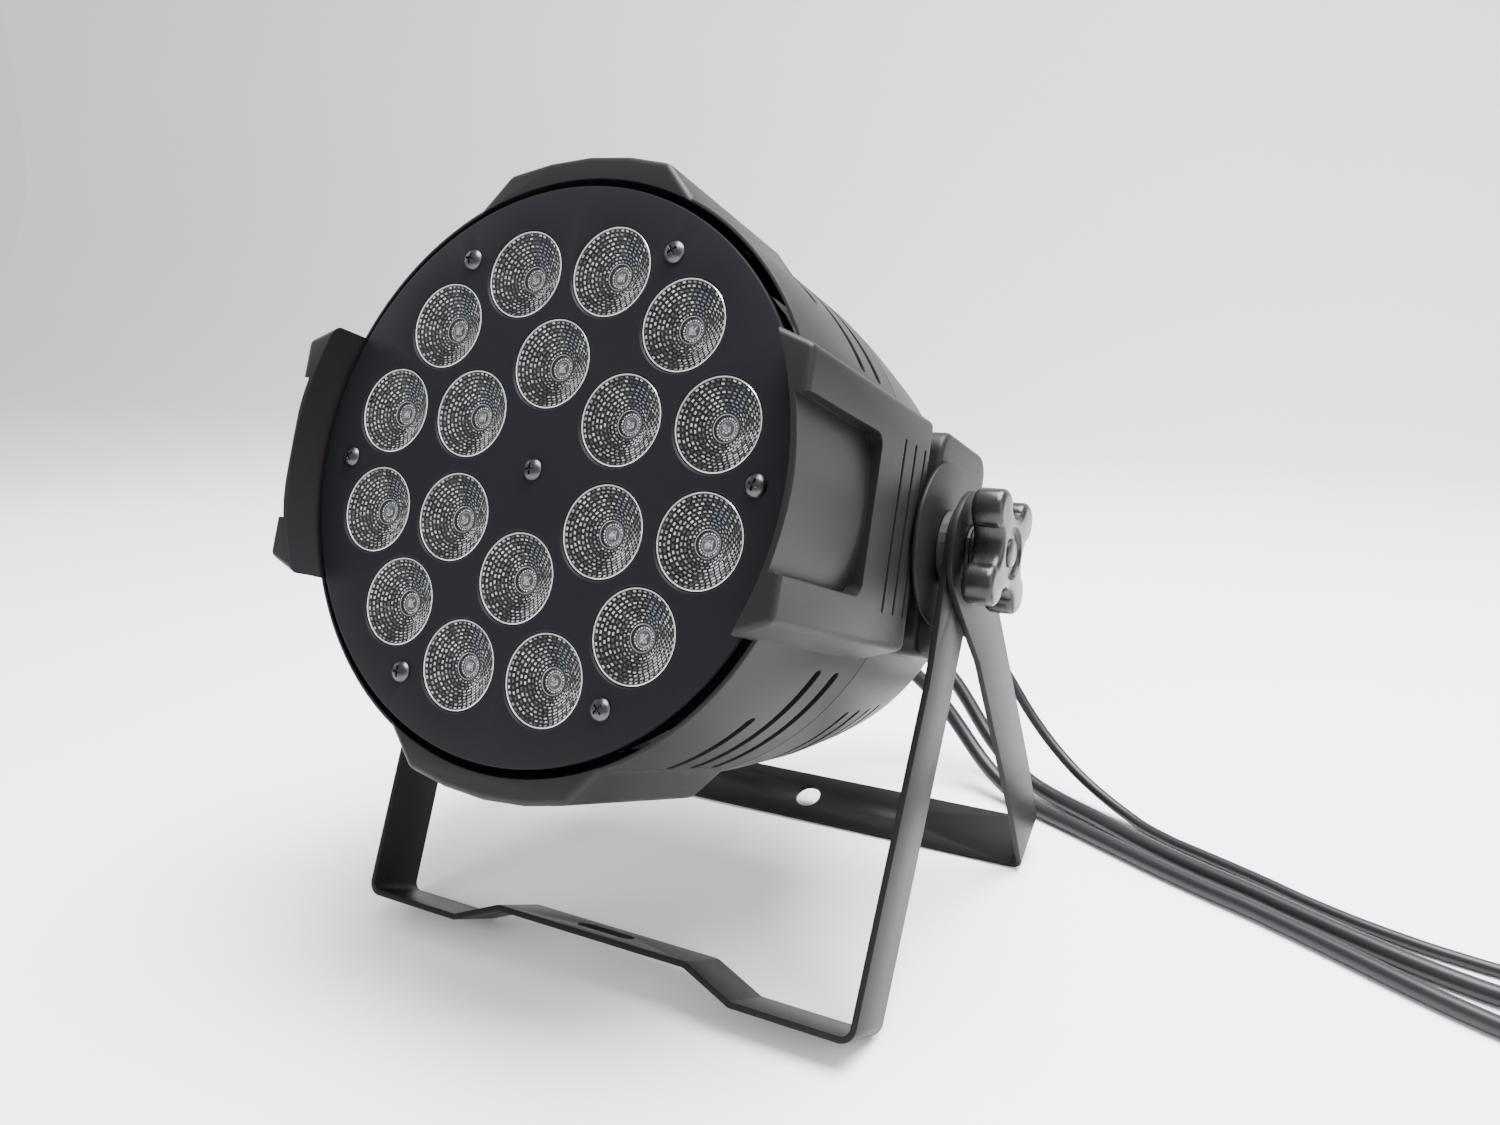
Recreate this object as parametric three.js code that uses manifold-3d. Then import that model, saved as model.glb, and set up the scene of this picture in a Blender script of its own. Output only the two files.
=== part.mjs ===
// Par can stage light: die-cast can with eighteen lensed emitters, two yoke
// brackets on one pivot axis, star knobs, rear cover with menu and cord exits.
// Units mm, +Z up, beam towards -Y, pivot axis along X.
import * as THREE from 'three';
import { mergeVertices, mergeGeometries } from 'three/addons/utils/BufferGeometryUtils.js';
import Module from 'manifold-3d';

const wasm = await Module();
wasm.setup();
const { Manifold, Mesh: MMesh } = wasm;

// ---------------------------------------------------------------- dimensions
const RAD = Math.PI / 180;
const BEAM_TILT = 21.0;          // beam above level, degrees
const ORIGIN_Y = 8.525;           // shifts the whole object so the box is centred
const PIVOT_H = 164.3;           // pivot axis above the floor
const PIV_Y = 107.0;             // pivot behind the face plate front
const PIV_Z = 0.0;               // pivot on the level of the optical axis

const R_PLATE = 100, T_PLATE = 2.0;
const R_LENS_HOLE = 16.0, R_LENS = 15.65;
const R_OUTER = 71.5, R_INNER = 37.1, R_SCREWS = 86.3;
const R_CAN = 104.4, R_LIP_IN = 103.0, R_CAN_IN = 101.2;
const Y_LIP = 2.0, Y_SPLIT = 87.5, Y_REAR = 172.0, Y_BACK = 197.0;
const EAR_Y = -13.0, EAR_Z = 41.0, EAR_X0 = 105.4, EAR_X1 = 108.9, EAR_END = 83.0;
const BLOCK_X = 109.5, BLOCK_Y0 = 92.5, BLOCK_Y1 = 145.4, BLOCK_Z = 42.0;
const PAD_Y = 104.4, PAD_Z = 0.6, PAD_R = 30.8, PAD_X0 = 109.8, PAD_X1 = 111.5;
const T_STRIP = 2.3;
const F_ANGLE = 27.0, F_LEN = 177.7, F_HW = 12.9, F_X = 118.2, F_XB = 113.7, F_JOG = 8.6;
const B_ANGLE = 28.1, B_LEN = 179.0, B_HW = 13.4, B_X = 120.8, B_XK = 123.0, B_XB = 122.7;
const KNOB_X = 124.4, KNOB_T = 12.0;
const GLAND_X = [-30, 0, 30], GLAND_Z = -20, GLAND_END = 223.0;
const R_DATA = 3.8, R_MAINS = 2.6;     // cord radii
const COIL_X = 362, COIL_Y = 111.525, COIL_IN = 20.1, COIL_OUT = 36.0, COIL_H = 10.6;

// ------------------------------------------------------------------ helpers
const black = new THREE.MeshStandardMaterial({ color: 0x17171a, roughness: 0.55, metalness: 0.3 });
const plateM = new THREE.MeshStandardMaterial({ color: 0x0d0d10, roughness: 0.6, metalness: 0.2 });
const steelM = new THREE.MeshStandardMaterial({ color: 0x5a5a5c, roughness: 0.35, metalness: 0.9 });
const lensM = new THREE.MeshStandardMaterial({ color: 0xd8dde2, roughness: 0.1, metalness: 0.0 });
const aluM = new THREE.MeshStandardMaterial({ color: 0xb4b6b8, roughness: 0.5, metalness: 0.8 });
const boardM = new THREE.MeshStandardMaterial({ color: 0x1d5a34, roughness: 0.6 });
const whiteM = new THREE.MeshStandardMaterial({ color: 0xe8e8e4, roughness: 0.6 });
const plasticM = new THREE.MeshStandardMaterial({ color: 0x111113, roughness: 0.7 });
const rubberM = new THREE.MeshStandardMaterial({ color: 0x0e0e0f, roughness: 0.9 });
const glassM = new THREE.MeshStandardMaterial({ color: 0x2a1012, roughness: 0.15 });
const buttonM = new THREE.MeshStandardMaterial({ color: 0x34343a, roughness: 0.6 });

function bare(g) {
  const c = g.index ? g.clone() : g.clone();
  for (const k of Object.keys(c.attributes)) if (k !== 'position') c.deleteAttribute(k);
  return mergeVertices(c, 1e-3);
}
function solid(g) {
  const m = bare(g);
  return new Manifold(new MMesh({
    numProp: 3,
    vertProperties: new Float32Array(m.attributes.position.array),
    triVerts: new Uint32Array(m.index.array),
  }));
}
function geo(man) {
  const m = man.getMesh();
  const g = new THREE.BufferGeometry();
  g.setAttribute('position', new THREE.BufferAttribute(new Float32Array(m.vertProperties), 3));
  g.setIndex(new THREE.BufferAttribute(new Uint32Array(m.triVerts), 1));
  return mergeVertices(g, 1e-3);
}
const add = (...l) => l.reduce((a, b) => a.add(b));
const cut = (a, ...l) => l.reduce((x, y) => x.subtract(y), a);
function box(x0, x1, y0, y1, z0, z1) {
  const g = new THREE.BoxGeometry(x1 - x0, y1 - y0, z1 - z0);
  g.translate((x0 + x1) / 2, (y0 + y1) / 2, (z0 + z1) / 2);
  return g;
}
// revolve about Y; list of [r, y], first and last on the axis
function turned(list, seg) {
  return new THREE.LatheGeometry(list.map((p) => new THREE.Vector2(p[0], p[1])), seg);
}
// closed ring about Y
function ringTurned(list, seg) {
  const l = list.concat([list[0]]);
  return new THREE.LatheGeometry(l.map((p) => new THREE.Vector2(p[0], p[1])), seg);
}
function fixWinding(g) {
  // make sure the solid faces outwards
  const p = g.attributes.position, ix = g.index.array;
  let v = 0; const a = new THREE.Vector3(), b = new THREE.Vector3(), c = new THREE.Vector3();
  for (let i = 0; i < ix.length; i += 3) {
    a.fromBufferAttribute(p, ix[i]); b.fromBufferAttribute(p, ix[i + 1]); c.fromBufferAttribute(p, ix[i + 2]);
    v += a.dot(b.cross(c));
  }
  if (v < 0) for (let i = 0; i < ix.length; i += 3) { const t = ix[i + 1]; ix[i + 1] = ix[i + 2]; ix[i + 2] = t; }
  return g;
}
const S = (g) => solid(fixWinding(bare(g)));
// shape in the XZ plane, pushed along +Y from y0 to y1
function pushY(shape, y0, y1, curve = 24) {
  const g = new THREE.ExtrudeGeometry(shape, { depth: y1 - y0, bevelEnabled: false, curveSegments: curve });
  g.rotateX(Math.PI / 2);            // shape y -> z, depth -> -y
  g.translate(0, y1, 0);
  return g;
}
// shape in the YZ plane, pushed along +X from x0 to x1
function pushX(shape, x0, x1, curve = 24) {
  const g = new THREE.ExtrudeGeometry(shape, { depth: x1 - x0, bevelEnabled: false, curveSegments: curve });
  const m = new THREE.Matrix4().set(0, 0, 1, x0, 1, 0, 0, 0, 0, 1, 0, 0, 0, 0, 0, 1);
  g.applyMatrix4(m);
  return g;
}
function poly(pts) { const s = new THREE.Shape(); pts.forEach((p, i) => (i ? s.lineTo(p[0], p[1]) : s.moveTo(p[0], p[1]))); s.closePath(); return s; }
function cylY(r, y0, y1, seg, x = 0, z = 0, r2 = r) {
  const g = new THREE.CylinderGeometry(r2, r, y1 - y0, seg);
  g.translate(x, (y0 + y1) / 2, z);
  return g;
}
function cylX(r, x0, x1, seg, y = 0, z = 0) {
  const g = new THREE.CylinderGeometry(r, r, x1 - x0, seg);
  g.rotateZ(-Math.PI / 2);
  g.translate((x0 + x1) / 2, y, z);
  return g;
}
function roundRect(x0, x1, z0, z1, r) {
  const s = new THREE.Shape();
  s.moveTo(x0 + r, z0); s.lineTo(x1 - r, z0); s.absarc(x1 - r, z0 + r, r, -Math.PI / 2, 0);
  s.lineTo(x1, z1 - r); s.absarc(x1 - r, z1 - r, r, 0, Math.PI / 2);
  s.lineTo(x0 + r, z1); s.absarc(x0 + r, z1 - r, r, Math.PI / 2, Math.PI);
  s.lineTo(x0, z0 + r); s.absarc(x0 + r, z0 + r, r, Math.PI, 1.5 * Math.PI);
  return s;
}

const group = new THREE.Group();
group.name = 'par_can_light';
// housing frame: x right, y behind the plate, z up, tilted about the pivot
const HM = new THREE.Matrix4()
  .makeTranslation(0, ORIGIN_Y, PIVOT_H)
  .multiply(new THREE.Matrix4().makeRotationX(-BEAM_TILT * RAD))
  .multiply(new THREE.Matrix4().makeTranslation(0, -PIV_Y, -PIV_Z));
const KM = new THREE.Matrix4().makeTranslation(0, ORIGIN_Y, PIVOT_H).multiply(new THREE.Matrix4().makeRotationX(-BEAM_TILT * RAD));
// bracket frame: pivot at the origin, arm runs down -Z
const FM = new THREE.Matrix4().makeTranslation(0, ORIGIN_Y, PIVOT_H).multiply(new THREE.Matrix4().makeRotationX(-F_ANGLE * RAD));
const BM = new THREE.Matrix4().makeTranslation(0, ORIGIN_Y, PIVOT_H).multiply(new THREE.Matrix4().makeRotationX(B_ANGLE * RAD));

function node(name, g, mat, M) {
  const geom = g.isBufferGeometry ? fixWinding(bare(g)) : geo(g);
  if (M) geom.applyMatrix4(M);
  geom.computeVertexNormals();
  const m = new THREE.Mesh(geom, mat);
  m.name = name;
  group.add(m);
  return m;
}
const at = (r, deg) => [r * Math.cos(deg * RAD), r * Math.sin(deg * RAD)];

// ------------------------------------------------------------- front housing
{
  const can = S(turned([[0, Y_LIP], [R_CAN - 0.4, Y_LIP], [R_CAN, Y_LIP + 0.6], [R_CAN - 0.6, Y_SPLIT], [0, Y_SPLIT]], 56));
  const parts = [can];
  for (const s of [-1, 1]) {
    // square ear: flat outer face, ends sloping back to the can
    const prof = poly([[80 * s, -51], [EAR_X1 * s, -EAR_Z], [EAR_X1 * s, EAR_Z], [80 * s, 51]]);
    let ear = S(pushY(prof, EAR_Y, EAR_END));
    const side = poly([[60, EAR_Y - 1], [EAR_X0, EAR_Y], [EAR_X1 + 0.001, EAR_END + 1], [60, EAR_END + 1]]);
    const g = new THREE.ExtrudeGeometry(side, { depth: 140, bevelEnabled: false });
    g.translate(0, 0, -70);
    if (s < 0) g.applyMatrix4(new THREE.Matrix4().makeScale(-1, 1, 1));
    ear = ear.intersect(S(g));
    // scooped panel that lets the round can show through the ear
    const win = cut(S(box(Math.min(s * 92, s * 120), Math.max(s * 92, s * 120), EAR_Y - 2, 42, -27, 27)), S(cylY(105.0, EAR_Y - 3, 43, 56)));
    ear = ear.subtract(win);
    for (const y of [60, 69, 77.5]) ear = ear.subtract(S(box(Math.min(s * 107.0, s * 120), Math.max(s * 107.0, s * 120), y - 0.8, y + 0.8, -30, 30)));
    parts.push(ear);
  }
  for (const s of [-1, 1]) {
    const roof = poly([[-46, 90 * s], [-46, 93.6 * s], [-34, 107 * s], [0, 111.8 * s], [34, 107 * s], [46, 93.6 * s], [46, 90 * s]]);
    parts.push(S(pushY(roof, Y_LIP - 0.6, EAR_END)));
  }
  let body = add(...parts);
  const bore = S(turned([[0, EAR_Y - 4], [R_LIP_IN, EAR_Y - 4], [R_LIP_IN, 8], [R_CAN_IN, 11], [R_CAN_IN - 0.6, Y_SPLIT + 2], [0, Y_SPLIT + 2]], 56));
  body = body.subtract(bore);
  const slots = [];
  for (const [y, a0] of [[41, 43], [57, 30], [72, 30]]) {
    const w = 2.4, a1 = 64;
    for (const q of [0, 1, 2, 3]) {
      const b0 = q % 2 ? 180 - a1 : a0, b1 = q % 2 ? 180 - a0 : a1;
      const s0 = (q < 2 ? b0 : -b1) * RAD, s1 = (q < 2 ? b1 : -b0) * RAD;
      const sh = new THREE.Shape();
      sh.absarc(0, 0, 118, s0, s1, false);
      sh.absarc(0, 0, 92, s1, s0, true);
      sh.closePath();
      let c = S(pushY(sh, y - w, y + w, 3));
      for (const e of [s0, s1]) {
        const k = new THREE.CylinderGeometry(w, w, 28, 8);
        k.rotateZ(-Math.PI / 2); k.translate(105, 0, 0); k.rotateY(-e); k.translate(0, y, 0);
        c = c.add(S(k));
      }
      slots.push(c);
    }
  }
  body = cut(body, ...slots);
  node('front_housing', body, black, HM);
}

// -------------------------------------------------------------- rear housing
{
  const can = S(turned([[0, Y_SPLIT + 0.3], [R_CAN - 0.6, Y_SPLIT + 0.3], [102.6, 106], [98.8, 142], [93.5, Y_REAR], [0, Y_REAR]], 56));
  const parts = [can];
  for (const s of [-1, 1]) {
    const sh = roundRect(BLOCK_Y0, BLOCK_Y1, -BLOCK_Z, BLOCK_Z, 9);
    parts.push(S(s > 0 ? pushX(sh, 78, BLOCK_X, 5) : pushX(sh, -BLOCK_X, -78, 5)));
  }
  let body = add(...parts);
  const bore = S(turned([[0, Y_SPLIT], [R_CAN_IN - 0.6, Y_SPLIT], [99.4, 107], [95.6, 142], [90.3, Y_REAR + 1], [0, Y_REAR + 1]], 56));
  body = body.subtract(bore);
  // pivot stud holes
  for (const s of [-1, 1]) body = body.subtract(S(cylX(4.4, Math.min(s * 90, s * 125), Math.max(s * 90, s * 125), 14, PIV_Y, PIV_Z)));
  // rear air slots, four groups
  for (const c0 of [52, 128, 232, 308]) for (const y of [118, 132, 146, 160]) {
    const sh = new THREE.Shape();
    sh.absarc(0, 0, 118, (c0 - 11) * RAD, (c0 + 11) * RAD, false);
    sh.absarc(0, 0, 82, (c0 + 11) * RAD, (c0 - 11) * RAD, true);
    sh.closePath();
    body = body.subtract(S(pushY(sh, y - 2, y + 2, 1)));
  }
  node('rear_housing', body, black, HM);
}

// ---------------------------------------------------------------- pivot pads
for (const [s, n] of [[-1, 'left'], [1, 'right']]) {
  let pad = S(cylX(PAD_R, Math.min(s * PAD_X0, s * PAD_X1), Math.max(s * PAD_X0, s * PAD_X1), 32, PAD_Y, PAD_Z));
  pad = pad.subtract(S(cylX(4.6, Math.min(s * 105, s * 120), Math.max(s * 105, s * 120), 14, PIV_Y, PIV_Z)));
  node(`pivot_pad_${n}`, pad, black, HM);
}

// ---------------------------------------------------------------- face plate
{
  const sh = new THREE.Shape();
  for (let i = 0; i < 56; i++) { const p = at(R_PLATE, i * 360 / 56); if (i) sh.lineTo(...p); else sh.moveTo(...p); }
  sh.closePath();
  const hole = (r, x, z) => { const p = new THREE.Path(); p.absarc(x, z, r, 0, 2 * Math.PI, true); sh.holes.push(p); };
  for (let k = 0; k < 12; k++) hole(R_LENS_HOLE, ...at(R_OUTER, 15 + 30 * k));
  for (let k = 0; k < 6; k++) hole(R_LENS_HOLE, ...at(R_INNER, 30 + 60 * k));
  for (let k = 0; k < 6; k++) hole(1.8, ...at(R_SCREWS, 60 * k));
  hole(1.8, 0, 0);
  node('face_plate', S(pushY(sh, 0, T_PLATE, 8)), plateM, HM);
}

// -------------------------------------------------------------------- lenses
{
  const prof = [[0, 0.3], [R_LENS, 0.3], [R_LENS, 3.6], [6.0, 18.0], [0, 18.0]];
  let n = 0;
  const put = (x, z) => {
    n += 1;
    const g = turned(prof, 14); g.translate(x, 0, z);
    node(`lens_${String(n).padStart(2, '0')}`, g, lensM, HM);
  };
  for (let k = 0; k < 12; k++) put(...at(R_OUTER, 15 + 30 * k));
  for (let k = 0; k < 6; k++) put(...at(R_INNER, 30 + 60 * k));
}

// --------------------------------------------------------------- face screws
{
  const prof = [[0, -2.3], [1.8, -2.1], [3.9, -0.3], [1.45, -0.3], [1.45, 17.4], [0, 17.4]];
  const put = (name, x, z) => node(name, turned(prof, 10).translate(x, 0, z), steelM, HM);
  put('face_screw_centre', 0, 0);
  for (let k = 0; k < 6; k++) put(`face_screw_${k + 1}`, ...at(R_SCREWS, 60 * k));
}

// ------------------------------------------------- led board and heat sink
{
  let b = S(cylY(97, 19.6, 21.2, 28));
  const chip = (x, z) => { b = b.add(S(box(x - 2.6, x + 2.6, 18.4, 20.0, z - 2.6, z + 2.6))); };
  for (let k = 0; k < 12; k++) chip(...at(R_OUTER, 15 + 30 * k));
  for (let k = 0; k < 6; k++) chip(...at(R_INNER, 30 + 60 * k));
  node('led_board', b, boardM, HM);

  let h = S(cylY(96, 21.5, 26, 28));
  for (let k = -5; k <= 5; k++) {
    const x = k * 15, w = Math.sqrt(94 * 94 - x * x);
    h = h.add(S(box(x - 1, x + 1, 25, 58, -w, w)));
  }
  node('heat_sink', h, aluM, HM);
}

// --------------------------------------------------- power and control boards
{
  let p = S(box(-55, 55, 96, 97.6, -38, 38));
  p = p.add(S(box(-48, -18, 97, 122, -30, 0)));
  p = p.add(S(box(0, 26, 97, 126, -20, 10)));
  for (const [x, z, r] of [[40, -22, 8], [40, 2, 8], [-36, 20, 7], [16, 25, 6]]) p = p.add(S(cylY(r, 97, 122, 16, x, z)));
  node('power_supply_board', p, boardM, HM);

  let c = S(box(-46, 46, 181.0, 182.6, -2, 50));
  c = c.add(S(box(-20, 20, 182, 189.6, 24, 38)));
  for (const x of [-30, -10, 10, 30]) c = c.add(S(box(x - 3, x + 3, 182, 187.0, 4, 10)));
  node('control_board', c, boardM, HM);
}

// ---------------------------------------------------------------- rear cover
{
  const outer = [[0, Y_REAR + 0.3], [93.3, Y_REAR + 0.3], [91.5, 184], [87, 192], [80, Y_BACK], [0, Y_BACK]];
  let r = S(turned(outer, 72));
  r = r.subtract(S(turned([[0, Y_REAR - 1], [90.2, Y_REAR - 1], [88.3, 184], [84.4, 190.6], [78, Y_BACK - 3], [0, Y_BACK - 3]], 56)));
  // display window, buttons, cord exits, air slots
  r = r.subtract(S(box(-22.3, 22.3, Y_BACK - 8, Y_BACK + 2, 22.7, 39.3)));
  for (const x of [-30, -10, 10, 30]) r = r.subtract(S(cylY(4.4, Y_BACK - 8, Y_BACK + 2, 14, x, 7)));
  for (const x of GLAND_X) r = r.subtract(S(cylY(6.4, Y_BACK - 8, Y_BACK + 2, 14, x, GLAND_Z)));
  for (const z of [-46, -54, -62]) r = r.subtract(S(pushY(roundRect(-34, 34, z - 1.6, z + 1.6, 1.5), Y_BACK - 8, Y_BACK + 2, 2)));
  // loop for a safety line
  const loop = cut(S(pushY(roundRect(-12, 12, 64, 71, 2.4), Y_BACK - 1, Y_BACK + 13, 3)), S(box(-8, 8, Y_BACK + 0.01, Y_BACK + 9.5, 60, 80)));
  r = r.add(loop);
  node('rear_cover', r, black, HM);
}
{
  node('display_window', S(box(-22, 22, Y_BACK - 3.6, Y_BACK - 0.6, 23, 39)), glassM, HM);
  const names = ['menu', 'up', 'down', 'enter'];
  [-30, -10, 10, 30].forEach((x, i) => node(`${names[i]}_button`, turned([[0, 188.8], [5.2, 188.8], [5.2, 190.0], [4.0, 190.0], [4.0, Y_BACK + 1.6], [3.4, Y_BACK + 2.2], [0, Y_BACK + 2.2]], 14).translate(x, 0, 7), buttonM, HM));
}

// ------------------------------------------------------------------ brackets
// strip of constant thickness that follows a path in the XZ plane
function stripPath(pts, t) {
  const n = pts.length, L = [], R = [];
  for (let i = 0; i < n; i++) {
    const a = pts[Math.max(0, i - 1)], b = pts[i], c = pts[Math.min(n - 1, i + 1)];
    let d1 = [b[0] - a[0], b[1] - a[1]], d2 = [c[0] - b[0], c[1] - b[1]];
    if (i === 0) d1 = d2; if (i === n - 1) d2 = d1;
    const l1 = Math.hypot(...d1), l2 = Math.hypot(...d2);
    const n1 = [-d1[1] / l1, d1[0] / l1], n2 = [-d2[1] / l2, d2[0] / l2];
    const m = [n1[0] + n2[0], n1[1] + n2[1]], k = 1 / (1 + n1[0] * n2[0] + n1[1] * n2[1]);
    L.push([b[0], b[1]]); R.push([b[0] + m[0] * k * t, b[1] + m[1] * k * t]);
  }
  return poly(L.concat(R.reverse()));
}
// rounded corner points between two legs
function corner(p, a, b, r, n) {
  const u = [a[0] - p[0], a[1] - p[1]], v = [b[0] - p[0], b[1] - p[1]];
  const lu = Math.hypot(...u), lv = Math.hypot(...v);
  const uu = [u[0] / lu, u[1] / lu], vv = [v[0] / lv, v[1] / lv];
  const ang = Math.acos(uu[0] * vv[0] + uu[1] * vv[1]);
  const d = r / Math.tan(ang / 2);
  const A = [p[0] + uu[0] * d, p[1] + uu[1] * d];
  const B = [p[0] + vv[0] * d, p[1] + vv[1] * d];
  const bis = [uu[0] + vv[0], uu[1] + vv[1]], lb = Math.hypot(...bis), h = r / Math.sin(ang / 2);
  const O = [p[0] + bis[0] / lb * h, p[1] + bis[1] / lb * h];
  let a0 = Math.atan2(A[1] - O[1], A[0] - O[0]), a1 = Math.atan2(B[1] - O[1], B[0] - O[0]);
  while (a1 - a0 > Math.PI) a1 -= 2 * Math.PI;
  while (a1 - a0 < -Math.PI) a1 += 2 * Math.PI;
  const out = [];
  for (let i = 0; i <= n; i++) { const q = a0 + (a1 - a0) * i / n; out.push([O[0] + r * Math.cos(q), O[1] + r * Math.sin(q)]); }
  return out;
}
function armOutline(hw, len, rh, ext) {
  // head disc round the pivot, strip below; YZ plane, pivot at 0,0
  const s = new THREE.Shape();
  const d = 46, a = Math.asin(Math.min(1, (rh - hw) / Math.hypot(d, 0)));
  s.moveTo(-hw, -len - ext);
  s.lineTo(-hw, -d);
  s.absarc(0, 0, rh, Math.PI + a, -a, true);
  s.lineTo(hw, -d);
  s.lineTo(hw, -len - ext);
  s.closePath();
  return s;
}
{
  // front bracket: arms lean in slightly, base has two feet and a raised middle
  const z0 = 24, zb = -F_LEN;
  const zi = (x) => x;
  const P = [[-F_X, z0]];
  const pts = [[-F_X, z0], [-F_X, -54], [-F_XB, zb], [-65, zb], [-44, zb + F_JOG], [44, zb + F_JOG], [65, zb], [F_XB, zb], [F_X, -54], [F_X, z0]];
  let path = [pts[0], pts[1]];
  path.push(...corner(pts[2], pts[1], pts[3], 6, 5));
  path.push(...corner(pts[3], pts[2], pts[4], 4, 2), ...corner(pts[4], pts[3], pts[5], 4, 2));
  path.push(...corner(pts[5], pts[4], pts[6], 4, 2), ...corner(pts[6], pts[5], pts[7], 4, 2));
  path.push(...corner(pts[7], pts[6], pts[8], 6, 5));
  path.push(pts[8], pts[9]);
  let b = S(pushY(stripPath(path, T_STRIP), -60, 60));
  b = b.intersect(S(pushX(armOutline(F_HW, F_LEN, 17, 6), -130, 130, 14)));
  b = b.subtract(S(cylX(4.4, -130, 130, 14, 0, 0)));
  const slot = roundRect(-13, 13, -4.6, 4.6, 4.5);
  const sg = new THREE.ExtrudeGeometry(slot, { depth: 20, bevelEnabled: false, curveSegments: 5 }); sg.translate(0, 0, zb);
  b = b.subtract(S(sg));
  node('front_bracket', b, black, FM);
}
{
  const z0 = 26, zb = -B_LEN;
  const pts = [[-B_X, z0], [-B_X, -14], [-B_XK, -136], [-B_XB, zb], [B_XB, zb], [B_XK, -136], [B_X, -14], [B_X, z0]];
  let path = [pts[0], pts[1], pts[2]];
  path.push(...corner(pts[3], pts[2], pts[4], 6, 5));
  path.push(...corner(pts[4], pts[3], pts[5], 6, 5));
  path.push(pts[5], pts[6], pts[7]);
  let b = S(pushY(stripPath(path, T_STRIP), -60, 60));
  b = b.intersect(S(pushX(armOutline(B_HW, B_LEN, 21.5, 6), -130, 130, 14)));
  b = b.subtract(S(cylX(4.4, -140, 140, 14, 0, 0)));
  const hg = new THREE.CylinderGeometry(6.3, 6.3, 20, 24); hg.rotateX(Math.PI / 2); hg.translate(9, 0, zb);
  b = b.subtract(S(hg));
  for (const x of [-60, 60]) { const k = new THREE.CylinderGeometry(3.2, 3.2, 20, 16); k.rotateX(Math.PI / 2); k.translate(x, 0, zb); b = b.subtract(S(k)); }
  node('rear_bracket', b, black, BM);
}

// --------------------------------------------------- knobs, studs and washers
for (const [s, n] of [[-1, 'left'], [1, 'right']]) {
  const X = (a, b) => [Math.min(s * a, s * b), Math.max(s * a, s * b)];
  const sh = new THREE.Shape();
  const lobes = 4, rl = 8.0, dl = 19.4;
  // four round lobes joined by hollow flanks
  const ptsK = [];
  for (let i = 0; i < lobes; i++) {
    const c = (45 + 90 * i) * RAD;
    for (let j = -4; j <= 4; j++) { const q = c + j * 27 * RAD; ptsK.push([dl * Math.cos(c) + rl * Math.cos(q), dl * Math.sin(c) + rl * Math.sin(q)]); }
    const m = (90 + 90 * i) * RAD;
    for (let j = -2; j <= 2; j++) { const q = m + Math.PI - j * 20 * RAD; ptsK.push([23.4 * Math.cos(m) + 9.6 * Math.cos(q), 23.4 * Math.sin(m) + 9.6 * Math.sin(q)]); }
  }
  ptsK.forEach((p, i) => (i ? sh.lineTo(p[0], p[1]) : sh.moveTo(p[0], p[1])));
  sh.closePath();
  let k = S(pushX(sh, ...X(KNOB_X, KNOB_X + KNOB_T), 4));
  k = k.add(S(cylX(9.4, ...X(KNOB_X + 1, B_X + 1.7), 20)));
  k = k.add(S(cylX(4.0, ...X(KNOB_X, 96), 16)));
  node(`lock_knob_${n}`, k, plasticM, KM);
  const w = cut(S(cylX(9.6, ...X(B_X + 0.3, B_X + 1.4), 20)), S(cylX(4.4, ...X(B_X - 2, B_X + 4), 14)));
  const sp = cut(S(cylX(14.0, ...X(PAD_X1 + 0.3, F_X - T_STRIP - 0.3), 24)), S(cylX(4.4, ...X(100, B_X + 4), 14)));
  node(`pivot_spacer_${n}`, sp, rubberM, KM);
  node(`pivot_washer_${n}`, w, steelM, KM);
}

// ------------------------------------------------- cord exits, cords and plugs
// strain reliefs: thread through the cover, flange, dome and tapered sleeve
for (const [i, n, r] of [[0, 'data_out', R_DATA], [1, 'data_in', R_DATA], [2, 'mains', R_MAINS]]) {
  const e = r + 0.9;
  const g = turned([[0, Y_BACK - 5.5], [6.0, Y_BACK - 5.5], [6.0, Y_BACK + 0.3], [10.2, Y_BACK + 0.3], [10.2, Y_BACK + 4.6], [8.6, Y_BACK + 5.4], [8.2, Y_BACK + 9], [6.6, Y_BACK + 11], [e, GLAND_END], [0, GLAND_END]], 14);
  g.translate(GLAND_X[i], 0, GLAND_Z);
  node(`${n}_strain_relief`, g, rubberM, HM);
}
// cord routes, from the strain relief to the connector or coil
const ROUTE_DATA_IN = [
  [0, 109.92, 104], [0, 118.33, 100.7], [1.4, 126.42, 96.6], [4, 133.83, 91.8], [7.7, 140.62, 86.5], [12.3, 146.62, 81],
  [17.7, 151.73, 75.2], [23.6, 155.93, 69.2], [30, 159.23, 63.2], [36.6, 161.62, 57], [43.5, 162.93, 50.8], [50.3, 163.23, 44.3],
  [57, 162.43, 37.8], [63.5, 160.73, 31.2], [70, 158.12, 24.9], [76.6, 154.93, 19.1], [83.6, 151.33, 14.1], [91.1, 147.53, 9.9],
  [98.9, 143.62, 6.8], [107.1, 139.62, 4.9], [115.6, 135.62, 3.9], [132.4, 127.12, 3.8], [149, 118.12, 3.8], [157.3, 113.62, 3.8],
  [174, 104.62, 3.8], [182.5, 100.33, 3.8], [199.6, 92.22, 3.8], [216.9, 84.52, 3.9], [225.4, 80.42, 3.8], [242.2, 71.62, 3.8],
  [258.8, 62.52, 3.8], [275.4, 53.42, 3.8], [292.3, 44.92, 3.8], [309.6, 37.42, 4.2], [318.4, 34.22, 5.6], [327.2, 31.53, 7.5],
  [336.1, 29.32, 9.1], [345, 27.82, 9.6],
];
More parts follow.
